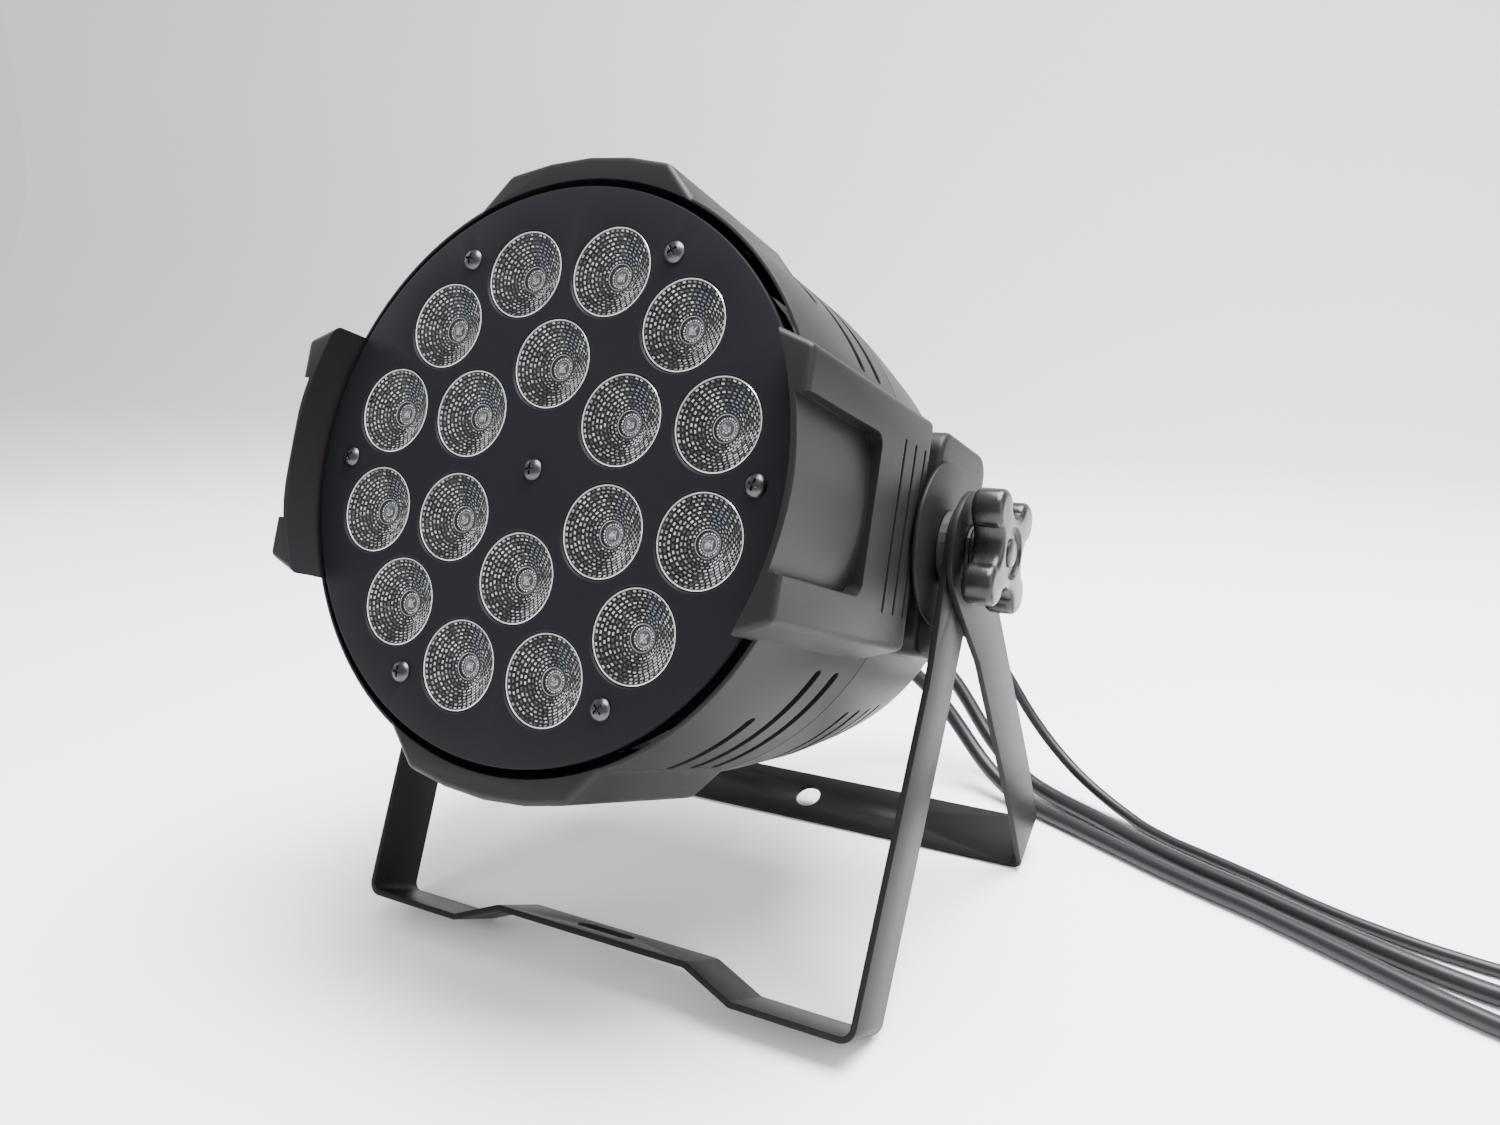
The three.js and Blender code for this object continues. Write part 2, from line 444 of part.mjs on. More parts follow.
const ROUTE_DATA_OUT = [
  [-30, 109.92, 104], [-30, 118.33, 100.7], [-28.6, 126.73, 97.3], [-26.1, 135.03, 93.9], [-22.4, 142.93, 90.4], [-17.9, 150.43, 87.1],
  [-12.5, 157.43, 83.8], [-6.5, 163.83, 80.5], [7.2, 174.83, 73.8], [14.7, 179.12, 70.3], [22.4, 182.73, 66.4], [30.2, 185.33, 62.1],
  [37.9, 186.93, 57.3], [45.3, 187.23, 51.8], [52.1, 186.33, 45.8], [58.3, 184.33, 39.3], [70.5, 178.12, 26.6], [76.9, 174.33, 20.9],
  [90.9, 166.23, 11.8], [98.6, 162.12, 8.6], [106.6, 157.93, 6.3], [123.2, 149.73, 4.2], [139.7, 140.53, 3.8], [155.5, 130.33, 3.8],
  [163.4, 125.33, 3.8], [179.7, 115.92, 3.8], [196.5, 107.42, 3.8], [213.7, 99.62, 3.9], [230.6, 91.33, 3.8], [247.4, 82.92, 3.8],
  [255.9, 78.83, 3.8], [273.1, 71.22, 3.8], [281.9, 67.72, 3.8], [299.7, 61.82, 3.8], [308.7, 59.42, 4.2], [326.9, 56.22, 7.5],
  [336, 55.52, 9.1], [345, 55.52, 9.6],
];
const ROUTE_MAINS = [
  [30, 109.92, 104], [30, 118.33, 100.7], [31.7, 126.83, 97.9], [34.9, 135.03, 95.3], [39.2, 142.83, 92.9], [44.4, 150.03, 90.5],
  [50.4, 156.62, 87.9], [56.8, 162.43, 84.7], [63.4, 167.33, 80.8], [70, 171.03, 75.9], [76.1, 173.43, 69.8], [81.7, 174.43, 62.7],
  [87, 174.43, 55.2], [92.3, 173.53, 47.7], [97.9, 172.03, 40.5], [104, 170.12, 33.8], [110.5, 167.83, 27.6], [117.4, 165.23, 22],
  [124.6, 162.12, 17.1], [132.1, 158.83, 12.9], [139.9, 155.23, 9.4], [147.7, 151.23, 6.6], [155.6, 146.93, 4.4], [163.3, 142.12, 2.9],
  [178.9, 132.53, 2.5], [187.1, 128.33, 2.6], [203.7, 120.42, 2.6], [220.1, 112.02, 2.7], [236.2, 103.33, 2.6], [252.9, 95.62, 2.6],
  [261.4, 92.22, 2.6], [278.8, 86.52, 2.6], [287.7, 84.22, 2.6], [305.7, 80.72, 2.6], [314.8, 79.52, 2.6], [323.9, 78.72, 2.6],
  [333, 78.33, 2.6], [342, 78.33, 2.6],
];
function tube(route, r, sides, steps) {
  const curve = new THREE.CatmullRomCurve3(route.map((p) => new THREE.Vector3(...p)), false, 'centripetal');
  const sh = new THREE.Shape();
  for (let i = 0; i < sides; i++) { const a = i / sides * 2 * Math.PI; if (i) sh.lineTo(r * Math.cos(a), r * Math.sin(a)); else sh.moveTo(r, 0); }
  sh.closePath();
  return new THREE.ExtrudeGeometry(sh, { steps, extrudePath: curve, bevelEnabled: false, curveSegments: 1 });
}
node('data_in_cord', tube(ROUTE_DATA_IN, R_DATA, 8, 26), rubberM);
node('data_out_cord', tube(ROUTE_DATA_OUT, R_DATA, 8, 28), rubberM);
node('mains_cord', tube(ROUTE_MAINS, R_MAINS, 8, 32), rubberM);
{
  const g = ringTurned([[COIL_IN, 2], [COIL_IN + 2, 0], [COIL_OUT - 2, 0], [COIL_OUT, 2], [COIL_OUT, COIL_H - 2], [COIL_OUT - 2, COIL_H], [COIL_IN + 2, COIL_H], [COIL_IN, COIL_H - 2]], 24);
  g.rotateX(Math.PI / 2); g.translate(COIL_X, COIL_Y, COIL_H);
  node('mains_cord_coil', g, rubberM);
}
// a piece made along +Y is laid along the heading (degrees from +Y, clockwise) at a point
function laid(x, y, z, heading) { return new THREE.Matrix4().makeTranslation(x, y, z).multiply(new THREE.Matrix4().makeRotationZ(-heading * RAD)); }
{
  // mains plug: sleeve, moulded body, two blades and an earth pin
  let p = S(turned([[0, 0], [3.5, 0], [5.0, 20], [5.0, 22], [0, 22]], 12));
  const b = new THREE.ExtrudeGeometry(roundRect(-12.5, 12.5, -10, 10, 4), { depth: 25, bevelEnabled: false, curveSegments: 3 });
  b.rotateX(Math.PI / 2); b.translate(0, 45, 0);
  p = p.add(S(b));
  p = add(p, S(box(-7.1, -5.6, 44, 62, -0.6, 5.7)), S(box(5.6, 7.1, 44, 62, -0.6, 5.7)), S(cylY(2.4, 44, 64, 10, 0, -5.6)));
  node('mains_plug', p, plasticM, laid(COIL_X + 33.2, COIL_Y + 22.2, 10.2, 0));
}
for (const [n, x, y, h, male] of [['data_in', 345.3, 27.78, 99.7, true], ['data_out', 345.3, 55.53, 90, false]]) {
  // three-pole round connector: rubber boot, shell, collar
  let c = S(turned([[0, 0], [4.9, 0], [6.6, 20], [8.9, 21.5], [8.9, 44], [9.5, 45], [9.5, 66], [9.0, 67], [0, 67]], 16));
  if (male) {
    c = c.subtract(S(cylY(8.1, 51, 70, 16)));
    for (const a of [90, 210, 330]) c = c.add(S(cylY(1.2, 50, 64, 8, 4 * Math.cos(a * RAD), 4 * Math.sin(a * RAD))));
  } else {
    for (const a of [90, 210, 330]) c = c.subtract(S(cylY(1.5, 52, 70, 8, 4 * Math.cos(a * RAD), 4 * Math.sin(a * RAD))));
  }
  node(`${n}_connector`, c, steelM, laid(x, y, 9.6, h));
}

export default group;
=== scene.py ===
import bpy, bmesh, math, random
from mathutils import Matrix, Vector


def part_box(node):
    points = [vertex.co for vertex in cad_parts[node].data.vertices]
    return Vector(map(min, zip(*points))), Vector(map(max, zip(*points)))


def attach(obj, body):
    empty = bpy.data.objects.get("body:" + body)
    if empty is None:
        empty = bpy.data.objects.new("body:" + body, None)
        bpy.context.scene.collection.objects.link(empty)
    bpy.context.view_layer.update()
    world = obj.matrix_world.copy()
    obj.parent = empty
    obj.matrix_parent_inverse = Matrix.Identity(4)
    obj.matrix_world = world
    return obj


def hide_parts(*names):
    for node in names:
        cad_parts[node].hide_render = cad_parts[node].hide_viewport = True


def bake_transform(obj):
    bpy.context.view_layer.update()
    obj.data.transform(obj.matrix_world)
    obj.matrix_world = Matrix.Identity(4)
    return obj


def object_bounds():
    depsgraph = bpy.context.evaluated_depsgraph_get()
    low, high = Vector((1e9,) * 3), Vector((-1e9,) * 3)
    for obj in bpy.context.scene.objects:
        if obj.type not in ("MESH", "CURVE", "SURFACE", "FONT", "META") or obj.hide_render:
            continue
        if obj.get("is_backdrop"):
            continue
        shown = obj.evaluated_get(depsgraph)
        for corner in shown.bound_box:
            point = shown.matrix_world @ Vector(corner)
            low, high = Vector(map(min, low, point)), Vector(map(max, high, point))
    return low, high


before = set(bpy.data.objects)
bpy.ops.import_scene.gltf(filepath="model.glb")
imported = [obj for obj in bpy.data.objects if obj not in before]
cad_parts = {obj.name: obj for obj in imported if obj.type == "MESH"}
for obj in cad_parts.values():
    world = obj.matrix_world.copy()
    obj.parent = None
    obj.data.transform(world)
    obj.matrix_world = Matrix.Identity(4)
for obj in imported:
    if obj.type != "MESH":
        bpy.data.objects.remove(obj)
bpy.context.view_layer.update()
scene = bpy.context.scene
RAD = math.pi / 180

# ------------------------------------------------------------------ frames, mm
TILT, ORIGIN_Y, PIVOT_H, PIV_Y, PIV_Z = 21.0, 8.525, 164.3, 107.0, 0.0
F_ANGLE, B_ANGLE = 27.0, 28.1
MM = Matrix.Diagonal((0.001, 0.001, 0.001, 1.0))
BASE = MM @ Matrix.Translation((0, ORIGIN_Y, PIVOT_H))
HM = BASE @ Matrix.Rotation(-TILT * RAD, 4, 'X') @ Matrix.Translation((0, -PIV_Y, -PIV_Z))
KM = BASE @ Matrix.Rotation(-TILT * RAD, 4, 'X')
FM = BASE @ Matrix.Rotation(-F_ANGLE * RAD, 4, 'X')
BM = BASE @ Matrix.Rotation(B_ANGLE * RAD, 4, 'X')

# --------------------------------------------------------------------- camera
CR = [(0.87124887, -0.15129603, 0.4669421), (0.09470071, 0.98524875, 0.14253661), (-0.48161934, -0.07996511, 0.8727247)]
CT = (-1.02589635, -0.43856715, 5.5356112)
RC = Matrix(CR)
c_disc = -(RC.transposed() @ Vector(CT)) * 71.5
rot_h = Matrix.Rotation(-TILT * RAD, 3, 'X')
def disc_dir(v): return rot_h @ Vector((v[0], v[2], -v[1]))
cam_pos = HM @ Vector((c_disc[0], c_disc[2], -c_disc[1]))
right, down, fwd = (disc_dir(r).normalized() for r in CR)
cam = bpy.data.objects.new("camera", bpy.data.cameras.new("camera"))
cam.data.sensor_width = 36
cam.data.lens = 36 * 1171.53 / 1500
cam.data.clip_start = 0.01
mw = Matrix((right, -down, -fwd)).transposed().to_4x4()
mw.translation = cam_pos
cam.matrix_world = mw
scene.collection.objects.link(cam)
scene.camera = cam

# -------------------------------------------------------------------- helpers
def link(name, mesh):
    o = bpy.data.objects.new(name, mesh)
    scene.collection.objects.link(o)
    return o
def finish_bm(bm, name, M=None, recalc=True):
    if recalc:
        bmesh.ops.recalc_face_normals(bm, faces=bm.faces[:])
    me = bpy.data.meshes.new(name)
    bm.to_mesh(me)
    bm.free()
    if M is not None:
        me.transform(M)
    return link(name, me)
def lathe(name, prof, seg=128, axis='Y', M=None, at=(0, 0)):
    """prof is [(r, h)] outline, starting and ending on the axis, or a closed ring when no end is on it."""
    bm = bmesh.new()
    ring = prof[0][0] > 1e-6
    rows = []
    def P(r, h, a):
        c, s = r * math.cos(a), r * math.sin(a)
        return (c + at[0], h, s + at[1]) if axis == 'Y' else ((h, c + at[0], s + at[1]) if axis == 'X' else (c + at[0], s + at[1], h))
    for r, h in prof:
        if r < 1e-6:
            rows.append([bm.verts.new(P(0, h, 0))])
        else:
            rows.append([bm.verts.new(P(r, h, 2 * math.pi * i / seg)) for i in range(seg)])
    pairs = list(zip(rows, rows[1:])) + ([(rows[-1], rows[0])] if ring else [])
    for a, b in pairs:
        for i in range(seg):
            j = (i + 1) % seg
            if len(a) == 1 and len(b) == 1:
                continue
            if len(a) == 1:
                bm.faces.new((a[0], b[i], b[j]))
            elif len(b) == 1:
                bm.faces.new((a[i], b[0], a[j]))
            else:
                bm.faces.new((a[i], b[i], b[j], a[j]))
    return finish_bm(bm, name, M)
def prism(name, pts, a0, a1, axis='Y', M=None, bevel=0.0, segs=3, only_caps=False):
    """outline pushed from a0 to a1 along an axis; pts are the other two coordinates."""
    bm = bmesh.new()
    def P(u, v, a): return (u, a, v) if axis == 'Y' else ((a, u, v) if axis == 'X' else (u, v, a))
    lo = [bm.verts.new(P(u, v, a0)) for u, v in pts]
    hi = [bm.verts.new(P(u, v, a1)) for u, v in pts]
    f0 = bm.faces.new(lo); f1 = bm.faces.new(hi)
    n = len(pts)
    for i in range(n):
        bm.faces.new((lo[i], lo[(i + 1) % n], hi[(i + 1) % n], hi[i]))
    bmesh.ops.recalc_face_normals(bm, faces=bm.faces[:])
    if bevel:
        if only_caps:
            es = list({e for f in (f0, f1) for e in f.edges})
        else:
            es = [e for e in bm.edges if e.calc_face_angle(0) > 20 * RAD]
        bmesh.ops.bevel(bm, geom=es, offset=bevel, segments=segs, profile=0.5, affect='EDGES')
    return finish_bm(bm, name, M)
def round_rect(x0, x1, z0, z1, r, n=6):
    out = []
    for cx, cz, a in ((x1 - r, z0 + r, -90), (x1 - r, z1 - r, 0), (x0 + r, z1 - r, 90), (x0 + r, z0 + r, 180)):
        for i in range(n + 1):
            q = (a + 90 * i / n) * RAD
            out.append((cx + r * math.cos(q), cz + r * math.sin(q)))
    return out
def box_pts(x0, x1, z0, z1): return [(x0, z0), (x1, z0), (x1, z1), (x0, z1)]
def apply_mods(o):
    dg = bpy.context.evaluated_depsgraph_get()
    me = bpy.data.meshes.new_from_object(o.evaluated_get(dg), depsgraph=dg)
    old = o.data
    o.modifiers.clear()
    o.data = me
    bpy.data.meshes.remove(old)
def boolean(o, op, tools, keep=False):
    for t in tools:
        m = o.modifiers.new("b", 'BOOLEAN')
        m.operation = op
        m.solver = 'MANIFOLD'
        m.object = t
        bpy.context.view_layer.update()
        apply_mods(o)
    if not keep:
        for t in tools:
            bpy.data.objects.remove(t)
    return o
def join(tools, name):
    """several separate closed pieces as one cutter."""
    bm = bmesh.new()
    for t in tools:
        bm.from_mesh(t.data)
        bpy.data.objects.remove(t)
    return finish_bm(bm, name, None, False)
def shade(o, deg=32):
    me = o.data
    me.polygons.foreach_set("use_smooth", [True] * len(me.polygons))
    me.update()
    me.set_sharp_from_angle(angle=deg * RAD)
    return o
def place(o, M):
    o.data.transform(M)
    return o
def paint(o, *mats):
    o.data.materials.clear()
    for m in mats:
        o.data.materials.append(m)
    return o
def done(o, mat, body, slot, *nodes, deg=32):
    shade(o, deg)
    paint(o, mat)
    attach(o, body)
    if nodes:
        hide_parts(*nodes)
    return o

# ------------------------------------------------------------------ materials
def new_mat(name):
    m = bpy.data.materials.new(name)
    m.use_nodes = True
    t = m.node_tree
    b = next(n for n in t.nodes if n.type == 'BSDF_PRINCIPLED')
    return m, t, b
def coated(name, col, col2, rough, rvar, bump=0.06, scale=1400.0, metal=0.0, spec=0.5, coat=0.0, edge=0.0006, big=14.0, dist=0.0002):
    """a paint, plastic or rubber: tone and gloss drift slowly over it, fine texture in the surface, worn-soft edges."""
    m, t, b = new_mat(name)
    N = t.nodes
    tc = N.new('ShaderNodeTexCoord')
    n1 = N.new('ShaderNodeTexNoise'); n1.inputs['Scale'].default_value = big; n1.inputs['Detail'].default_value = 4
    n2 = N.new('ShaderNodeTexNoise'); n2.inputs['Scale'].default_value = scale; n2.inputs['Detail'].default_value = 2
    for n in (n1, n2):
        t.links.new(tc.outputs['Object'], n.inputs['Vector'])
    mix = N.new('ShaderNodeMix'); mix.data_type = 'RGBA'
    mix.inputs[6].default_value = (*col, 1); mix.inputs[7].default_value = (*col2, 1)
    t.links.new(n1.outputs['Fac'], mix.inputs[0])
    t.links.new(mix.outputs[2], b.inputs['Base Color'])
    rr = N.new('ShaderNodeMapRange')
    rr.inputs['To Min'].default_value = rough - rvar; rr.inputs['To Max'].default_value = rough + rvar
    t.links.new(n2.outputs['Fac'], rr.inputs['Value'])
    t.links.new(rr.outputs['Result'], b.inputs['Roughness'])
    bp = N.new('ShaderNodeBump'); bp.inputs['Strength'].default_value = bump; bp.inputs['Distance'].default_value = dist
    t.links.new(n2.outputs['Fac'], bp.inputs['Height'])
    if edge:
        bv = N.new('ShaderNodeBevel'); bv.samples = 4; bv.inputs['Radius'].default_value = edge
        t.links.new(bv.outputs['Normal'], bp.inputs['Normal'])
    t.links.new(bp.outputs['Normal'], b.inputs['Normal'])
    b.inputs['Metallic'].default_value = metal
    b.inputs['Specular IOR Level'].default_value = spec
    b.inputs['Coat Weight'].default_value = coat
    b.inputs['Coat Roughness'].default_value = 0.12
    return m
cast = coated("cast_black", (0.0068, 0.0062, 0.0072), (0.0095, 0.0086, 0.0100), 0.44, 0.04, 0.05, 1500, spec=0.13)
plate_m = coated("plate_black", (0.0055, 0.0057, 0.0072), (0.0072, 0.0074, 0.0092), 0.5, 0.04, 0.05, 1800, spec=0.07, edge=0.0003)
strap = coated("bracket_black", (0.006, 0.006, 0.0066), (0.0085, 0.0085, 0.0092), 0.42, 0.04, 0.05, 1500, spec=0.10, edge=0.0004)
knob_m = coated("knob_plastic", (0.006, 0.006, 0.007), (0.009, 0.009, 0.010), 0.26, 0.04, 0.03, 900, spec=0.34, edge=0.0007)
rubber = coated("black_rubber", (0.009, 0.009, 0.010), (0.014, 0.014, 0.015), 0.62, 0.08, 0.15, 1700, spec=0.35, edge=0.0003)
jacket = coated("cord_jacket", (0.008, 0.008, 0.010), (0.012, 0.012, 0.014), 0.38, 0.05, 0.04, 1200, spec=0.28, edge=0)
inside = coated("inside_black", (0.006, 0.006, 0.007), (0.010, 0.010, 0.011), 0.8, 0.05, 0.1, 900, spec=0.2, edge=0)
steel = coated("screw_steel", (0.045, 0.045, 0.05), (0.075, 0.075, 0.08), 0.32, 0.08, 0.08, 2500, metal=1.0, edge=0.0002, big=300)
nickel = coated("connector_metal", (0.42, 0.42, 0.43), (0.5, 0.5, 0.5), 0.28, 0.06, 0.04, 2500, metal=1.0, edge=0.0003)
alu = coated("bare_aluminium", (0.55, 0.55, 0.56), (0.65, 0.65, 0.66), 0.45, 0.08, 0.1, 1200, metal=1.0, edge=0)
board = coated("circuit_board", (0.02, 0.12, 0.05), (0.03, 0.18, 0.07), 0.4, 0.08, 0.1, 600, edge=0)
glassy = coated("display_glass", (0.030, 0.004, 0.005), (0.045, 0.006, 0.007), 0.08, 0.02, 0.01, 400, spec=0.6, coat=0.6, edge=0.0003)
key_m = coated("button_plastic", (0.07, 0.07, 0.08), (0.09, 0.09, 0.10), 0.5, 0.05, 0.1, 1500, edge=0.0003)
brass = coated("pin_brass", (0.55, 0.42, 0.2), (0.62, 0.48, 0.24), 0.25, 0.05, 0.04, 2000, metal=1.0, edge=0.0002)
def facet(name, col, rough, metal):
    return coated(name, col, tuple(min(1, c * 1.35 + 0.01) for c in col), rough, 0.02, 0.02, 3000, metal=metal, edge=0, big=400)
l_dark = facet("lens_dark", (0.006, 0.006, 0.008), 0.12, 0.0)
l_deep = facet("lens_deep", (0.10, 0.10, 0.11), 0.14, 0.3)
l_mid = facet("lens_mid", (0.40, 0.41, 0.43), 0.16, 0.3)
# painted highlight and painted cool reflection: light facet tones that stand in for light reflected in the clear optic
l_painted_highlight = facet("lens_bright", (0.88, 0.89, 0.92), 0.2, 0.1)
l_painted_cool_reflection = facet("lens_blue", (0.30, 0.38, 0.50), 0.12, 0.4)
def clear_mat():
    m, t, b = new_mat("lens_clear")
    N = t.nodes
    out = next(n for n in N if n.type == 'OUTPUT_MATERIAL')
    tr = N.new('ShaderNodeBsdfTransparent')
    gl = N.new('ShaderNodeBsdfGlossy'); gl.inputs['Roughness'].default_value = 0.03
    fr = N.new('ShaderNodeFresnel'); fr.inputs['IOR'].default_value = 1.42
    mx = N.new('ShaderNodeMixShader')
    tc = N.new('ShaderNodeTexCoord')
    w = N.new('ShaderNodeTexNoise'); w.inputs['Scale'].default_value = 180
    bp = N.new('ShaderNodeBump'); bp.inputs['Strength'].default_value = 0.05; bp.inputs['Distance'].default_value = 0.0005
    t.links.new(tc.outputs['Object'], w.inputs['Vector'])
    t.links.new(w.outputs['Fac'], bp.inputs['Height'])
    t.links.new(bp.outputs['Normal'], gl.inputs['Normal'])
    t.links.new(fr.outputs[0], mx.inputs[0]); t.links.new(tr.outputs[0], mx.inputs[1]); t.links.new(gl.outputs[0], mx.inputs[2])
    t.links.new(mx.outputs[0], out.inputs['Surface'])
    N.remove(b)
    return m
clear = clear_mat()

# ------------------------------------------------------------------ cords first
ROUTE_DATA_IN = [
    (0, 109.92, 104), (0, 118.33, 100.7), (1.4, 126.42, 96.6), (4, 133.83, 91.8), (7.7, 140.62, 86.5), (12.3, 146.62, 81),
    (17.7, 151.73, 75.2), (23.6, 155.93, 69.2), (30, 159.23, 63.2), (36.6, 161.62, 57), (43.5, 162.93, 50.8), (50.3, 163.23, 44.3),
    (57, 162.43, 37.8), (63.5, 160.73, 31.2), (70, 158.12, 24.9), (76.6, 154.93, 19.1), (83.6, 151.33, 14.1), (91.1, 147.53, 9.9),
    (98.9, 143.62, 6.8), (107.1, 139.62, 4.9), (115.6, 135.62, 3.9), (132.4, 127.12, 3.8), (149, 118.12, 3.8), (157.3, 113.62, 3.8),
    (174, 104.62, 3.8), (182.5, 100.33, 3.8), (199.6, 92.22, 3.8), (216.9, 84.52, 3.9), (225.4, 80.42, 3.8), (242.2, 71.62, 3.8),
    (258.8, 62.52, 3.8), (275.4, 53.42, 3.8), (292.3, 44.92, 3.8), (309.6, 37.42, 4.2), (318.4, 34.22, 5.6), (327.2, 31.53, 7.5),
    (336.1, 29.32, 9.1), (345, 27.82, 9.6),
]

ROUTE_DATA_OUT = [
    (-30, 109.92, 104), (-30, 118.33, 100.7), (-28.6, 126.73, 97.3), (-26.1, 135.03, 93.9), (-22.4, 142.93, 90.4), (-17.9, 150.43, 87.1),
    (-12.5, 157.43, 83.8), (-6.5, 163.83, 80.5), (7.2, 174.83, 73.8), (14.7, 179.12, 70.3), (22.4, 182.73, 66.4), (30.2, 185.33, 62.1),
    (37.9, 186.93, 57.3), (45.3, 187.23, 51.8), (52.1, 186.33, 45.8), (58.3, 184.33, 39.3), (70.5, 178.12, 26.6), (76.9, 174.33, 20.9),
    (90.9, 166.23, 11.8), (98.6, 162.12, 8.6), (106.6, 157.93, 6.3), (123.2, 149.73, 4.2), (139.7, 140.53, 3.8), (155.5, 130.33, 3.8),
    (163.4, 125.33, 3.8), (179.7, 115.92, 3.8), (196.5, 107.42, 3.8), (213.7, 99.62, 3.9), (230.6, 91.33, 3.8), (247.4, 82.92, 3.8),
    (255.9, 78.83, 3.8), (273.1, 71.22, 3.8), (281.9, 67.72, 3.8), (299.7, 61.82, 3.8), (308.7, 59.42, 4.2), (326.9, 56.22, 7.5),
    (336, 55.52, 9.1), (345, 55.52, 9.6),
]

ROUTE_MAINS = [
    (30, 109.92, 104), (30, 118.33, 100.7), (31.7, 126.83, 97.9), (34.9, 135.03, 95.3), (39.2, 142.83, 92.9), (44.4, 150.03, 90.5),
    (50.4, 156.62, 87.9), (56.8, 162.43, 84.7), (63.4, 167.33, 80.8), (70, 171.03, 75.9), (76.1, 173.43, 69.8), (81.7, 174.43, 62.7),
    (87, 174.43, 55.2), (92.3, 173.53, 47.7), (97.9, 172.03, 40.5), (104, 170.12, 33.8), (110.5, 167.83, 27.6), (117.4, 165.23, 22),
    (124.6, 162.12, 17.1), (132.1, 158.83, 12.9), (139.9, 155.23, 9.4), (147.7, 151.23, 6.6), (155.6, 146.93, 4.4), (163.3, 142.12, 2.9),
    (178.9, 132.53, 2.5), (187.1, 128.33, 2.6), (203.7, 120.42, 2.6), (220.1, 112.02, 2.7), (236.2, 103.33, 2.6), (252.9, 95.62, 2.6),
    (261.4, 92.22, 2.6), (278.8, 86.52, 2.6), (287.7, 84.22, 2.6), (305.7, 80.72, 2.6), (314.8, 79.52, 2.6), (323.9, 78.72, 2.6),
    (333, 78.33, 2.6), (342, 78.33, 2.6),
]

def spline(P, n=10):
    """centripetal curve through the points."""
    P = [Vector(p) for p in P]
    P = [2 * P[0] - P[1]] + P + [2 * P[-1] - P[-2]]
    out = []
    for i in range(1, len(P) - 2):
        p0, p1, p2, p3 = P[i - 1:i + 3]
        t0 = 0.0; t1 = t0 + (p1 - p0).length ** 0.5; t2 = t1 + (p2 - p1).length ** 0.5; t3 = t2 + (p3 - p2).length ** 0.5
        for k in range(n):
            s = t1 + (t2 - t1) * k / n
            A1 = p0 * ((t1 - s) / (t1 - t0)) + p1 * ((s - t0) / (t1 - t0))
            A2 = p1 * ((t2 - s) / (t2 - t1)) + p2 * ((s - t1) / (t2 - t1))
            A3 = p2 * ((t3 - s) / (t3 - t2)) + p3 * ((s - t2) / (t3 - t2))
            B1 = A1 * ((t2 - s) / (t2 - t0)) + A2 * ((s - t0) / (t2 - t0))
            B2 = A2 * ((t3 - s) / (t3 - t1)) + A3 * ((s - t1) / (t3 - t1))
            out.append(B1 * ((t2 - s) / (t2 - t1)) + B2 * ((s - t1) / (t2 - t1)))
    out.append(P[-2])
    return out
def even(P, step):
    d = [0.0]
    for a, b in zip(P, P[1:]):
        d.append(d[-1] + (b - a).length)
    n = max(2, round(d[-1] / step) + 1)
    out, k = [], 0
    for i in range(n):
        s = d[-1] * i / (n - 1)
        while k < len(d) - 2 and d[k + 1] < s:
            k += 1
        f = 0 if d[k + 1] == d[k] else (s - d[k]) / (d[k + 1] - d[k])
        out.append(P[k].lerp(P[k + 1], min(1, max(0, f))))
    return out, d[-1]
def tube(name, P, r, sides=16):
    bm = bmesh.new()
    T = []
    for i in range(len(P)):
        T.append((P[min(i + 1, len(P) - 1)] - P[max(i - 1, 0)]).normalized())
    n = T[0].orthogonal().normalized()
    rows = []
    for i, p in enumerate(P):
        n = (n - T[i] * n.dot(T[i])).normalized()
        b = T[i].cross(n)
        rows.append([bm.verts.new((p + (n * math.cos(2 * math.pi * k / sides) + b * math.sin(2 * math.pi * k / sides)) * r) * 0.001) for k in range(sides)])
    for a, b in zip(rows, rows[1:]):
        for k in range(sides):
            bm.faces.new((a[k], a[(k + 1) % sides], b[(k + 1) % sides], b[k]))
    bm.faces.new(rows[0]); bm.faces.new(rows[-1])
    return finish_bm(bm, name)
COIL_X, COIL_Y = 362.0, 111.525
def coil_path():
    """three turns inwards on the floor and two and a quarter outwards on top; each turn steps over in its last seventh."""
    radii = [33.2, 28.0, 22.8, 22.8, 28.0, 33.2]
    levels = [2.6, 2.6, 2.6, 7.8, 7.8, 7.8]
    steps = 42
    out = []
    for i in range(1, int(5.25 * steps) + 1):
        t = i / steps
        k = min(5, int(t - 1e-9))
        f = max(0.0, min(1.0, (t - k - 0.86) / 0.14)) if k < 5 else 0.0
        f = f * f * (3 - 2 * f)
        n = min(5, k + 1)
        r = radii[k] + (radii[n] - radii[k]) * f
        z = levels[k] + (levels[n] - levels[k]) * f
        a = -math.pi / 2 + 2 * math.pi * t
        out.append(Vector((COIL_X + r * math.cos(a), COIL_Y + r * math.sin(a), z)))
    return out
coil = coil_path()
main_pts = spline(ROUTE_MAINS)
tail_a = coil[-1]
tail = [tail_a + Vector((0.0, 7.4 * k, 0.0 + 0.8 * k)) for k in (1, 2)] + [Vector((COIL_X + 33.2, COIL_Y + 21.9, 10.2))]
main_pts = main_pts + [Vector((COIL_X - 10, COIL_Y - 33.2, 2.6))] + coil[2:] + spline([tail_a] + tail, 6)[1:]
cords = {}
for name, pts, r, sides in (("data_in_lead", spline(ROUTE_DATA_IN), 3.8, 20), ("data_out_lead", spline(ROUTE_DATA_OUT), 3.8, 20), ("mains_lead", main_pts, 2.6, 16)):
    P, L = even(pts, 3.0)
    o = tube(name, P, r, sides)
    cords[name] = (o, P, L, r)
for key, (o, P, L, r) in cords.items():
    shade(o, 60)
    paint(o, jacket)
def laid(x, y, z, h): return MM @ Matrix.Translation((x, y, z)) @ Matrix.Rotation(-h * RAD, 4, 'Z')
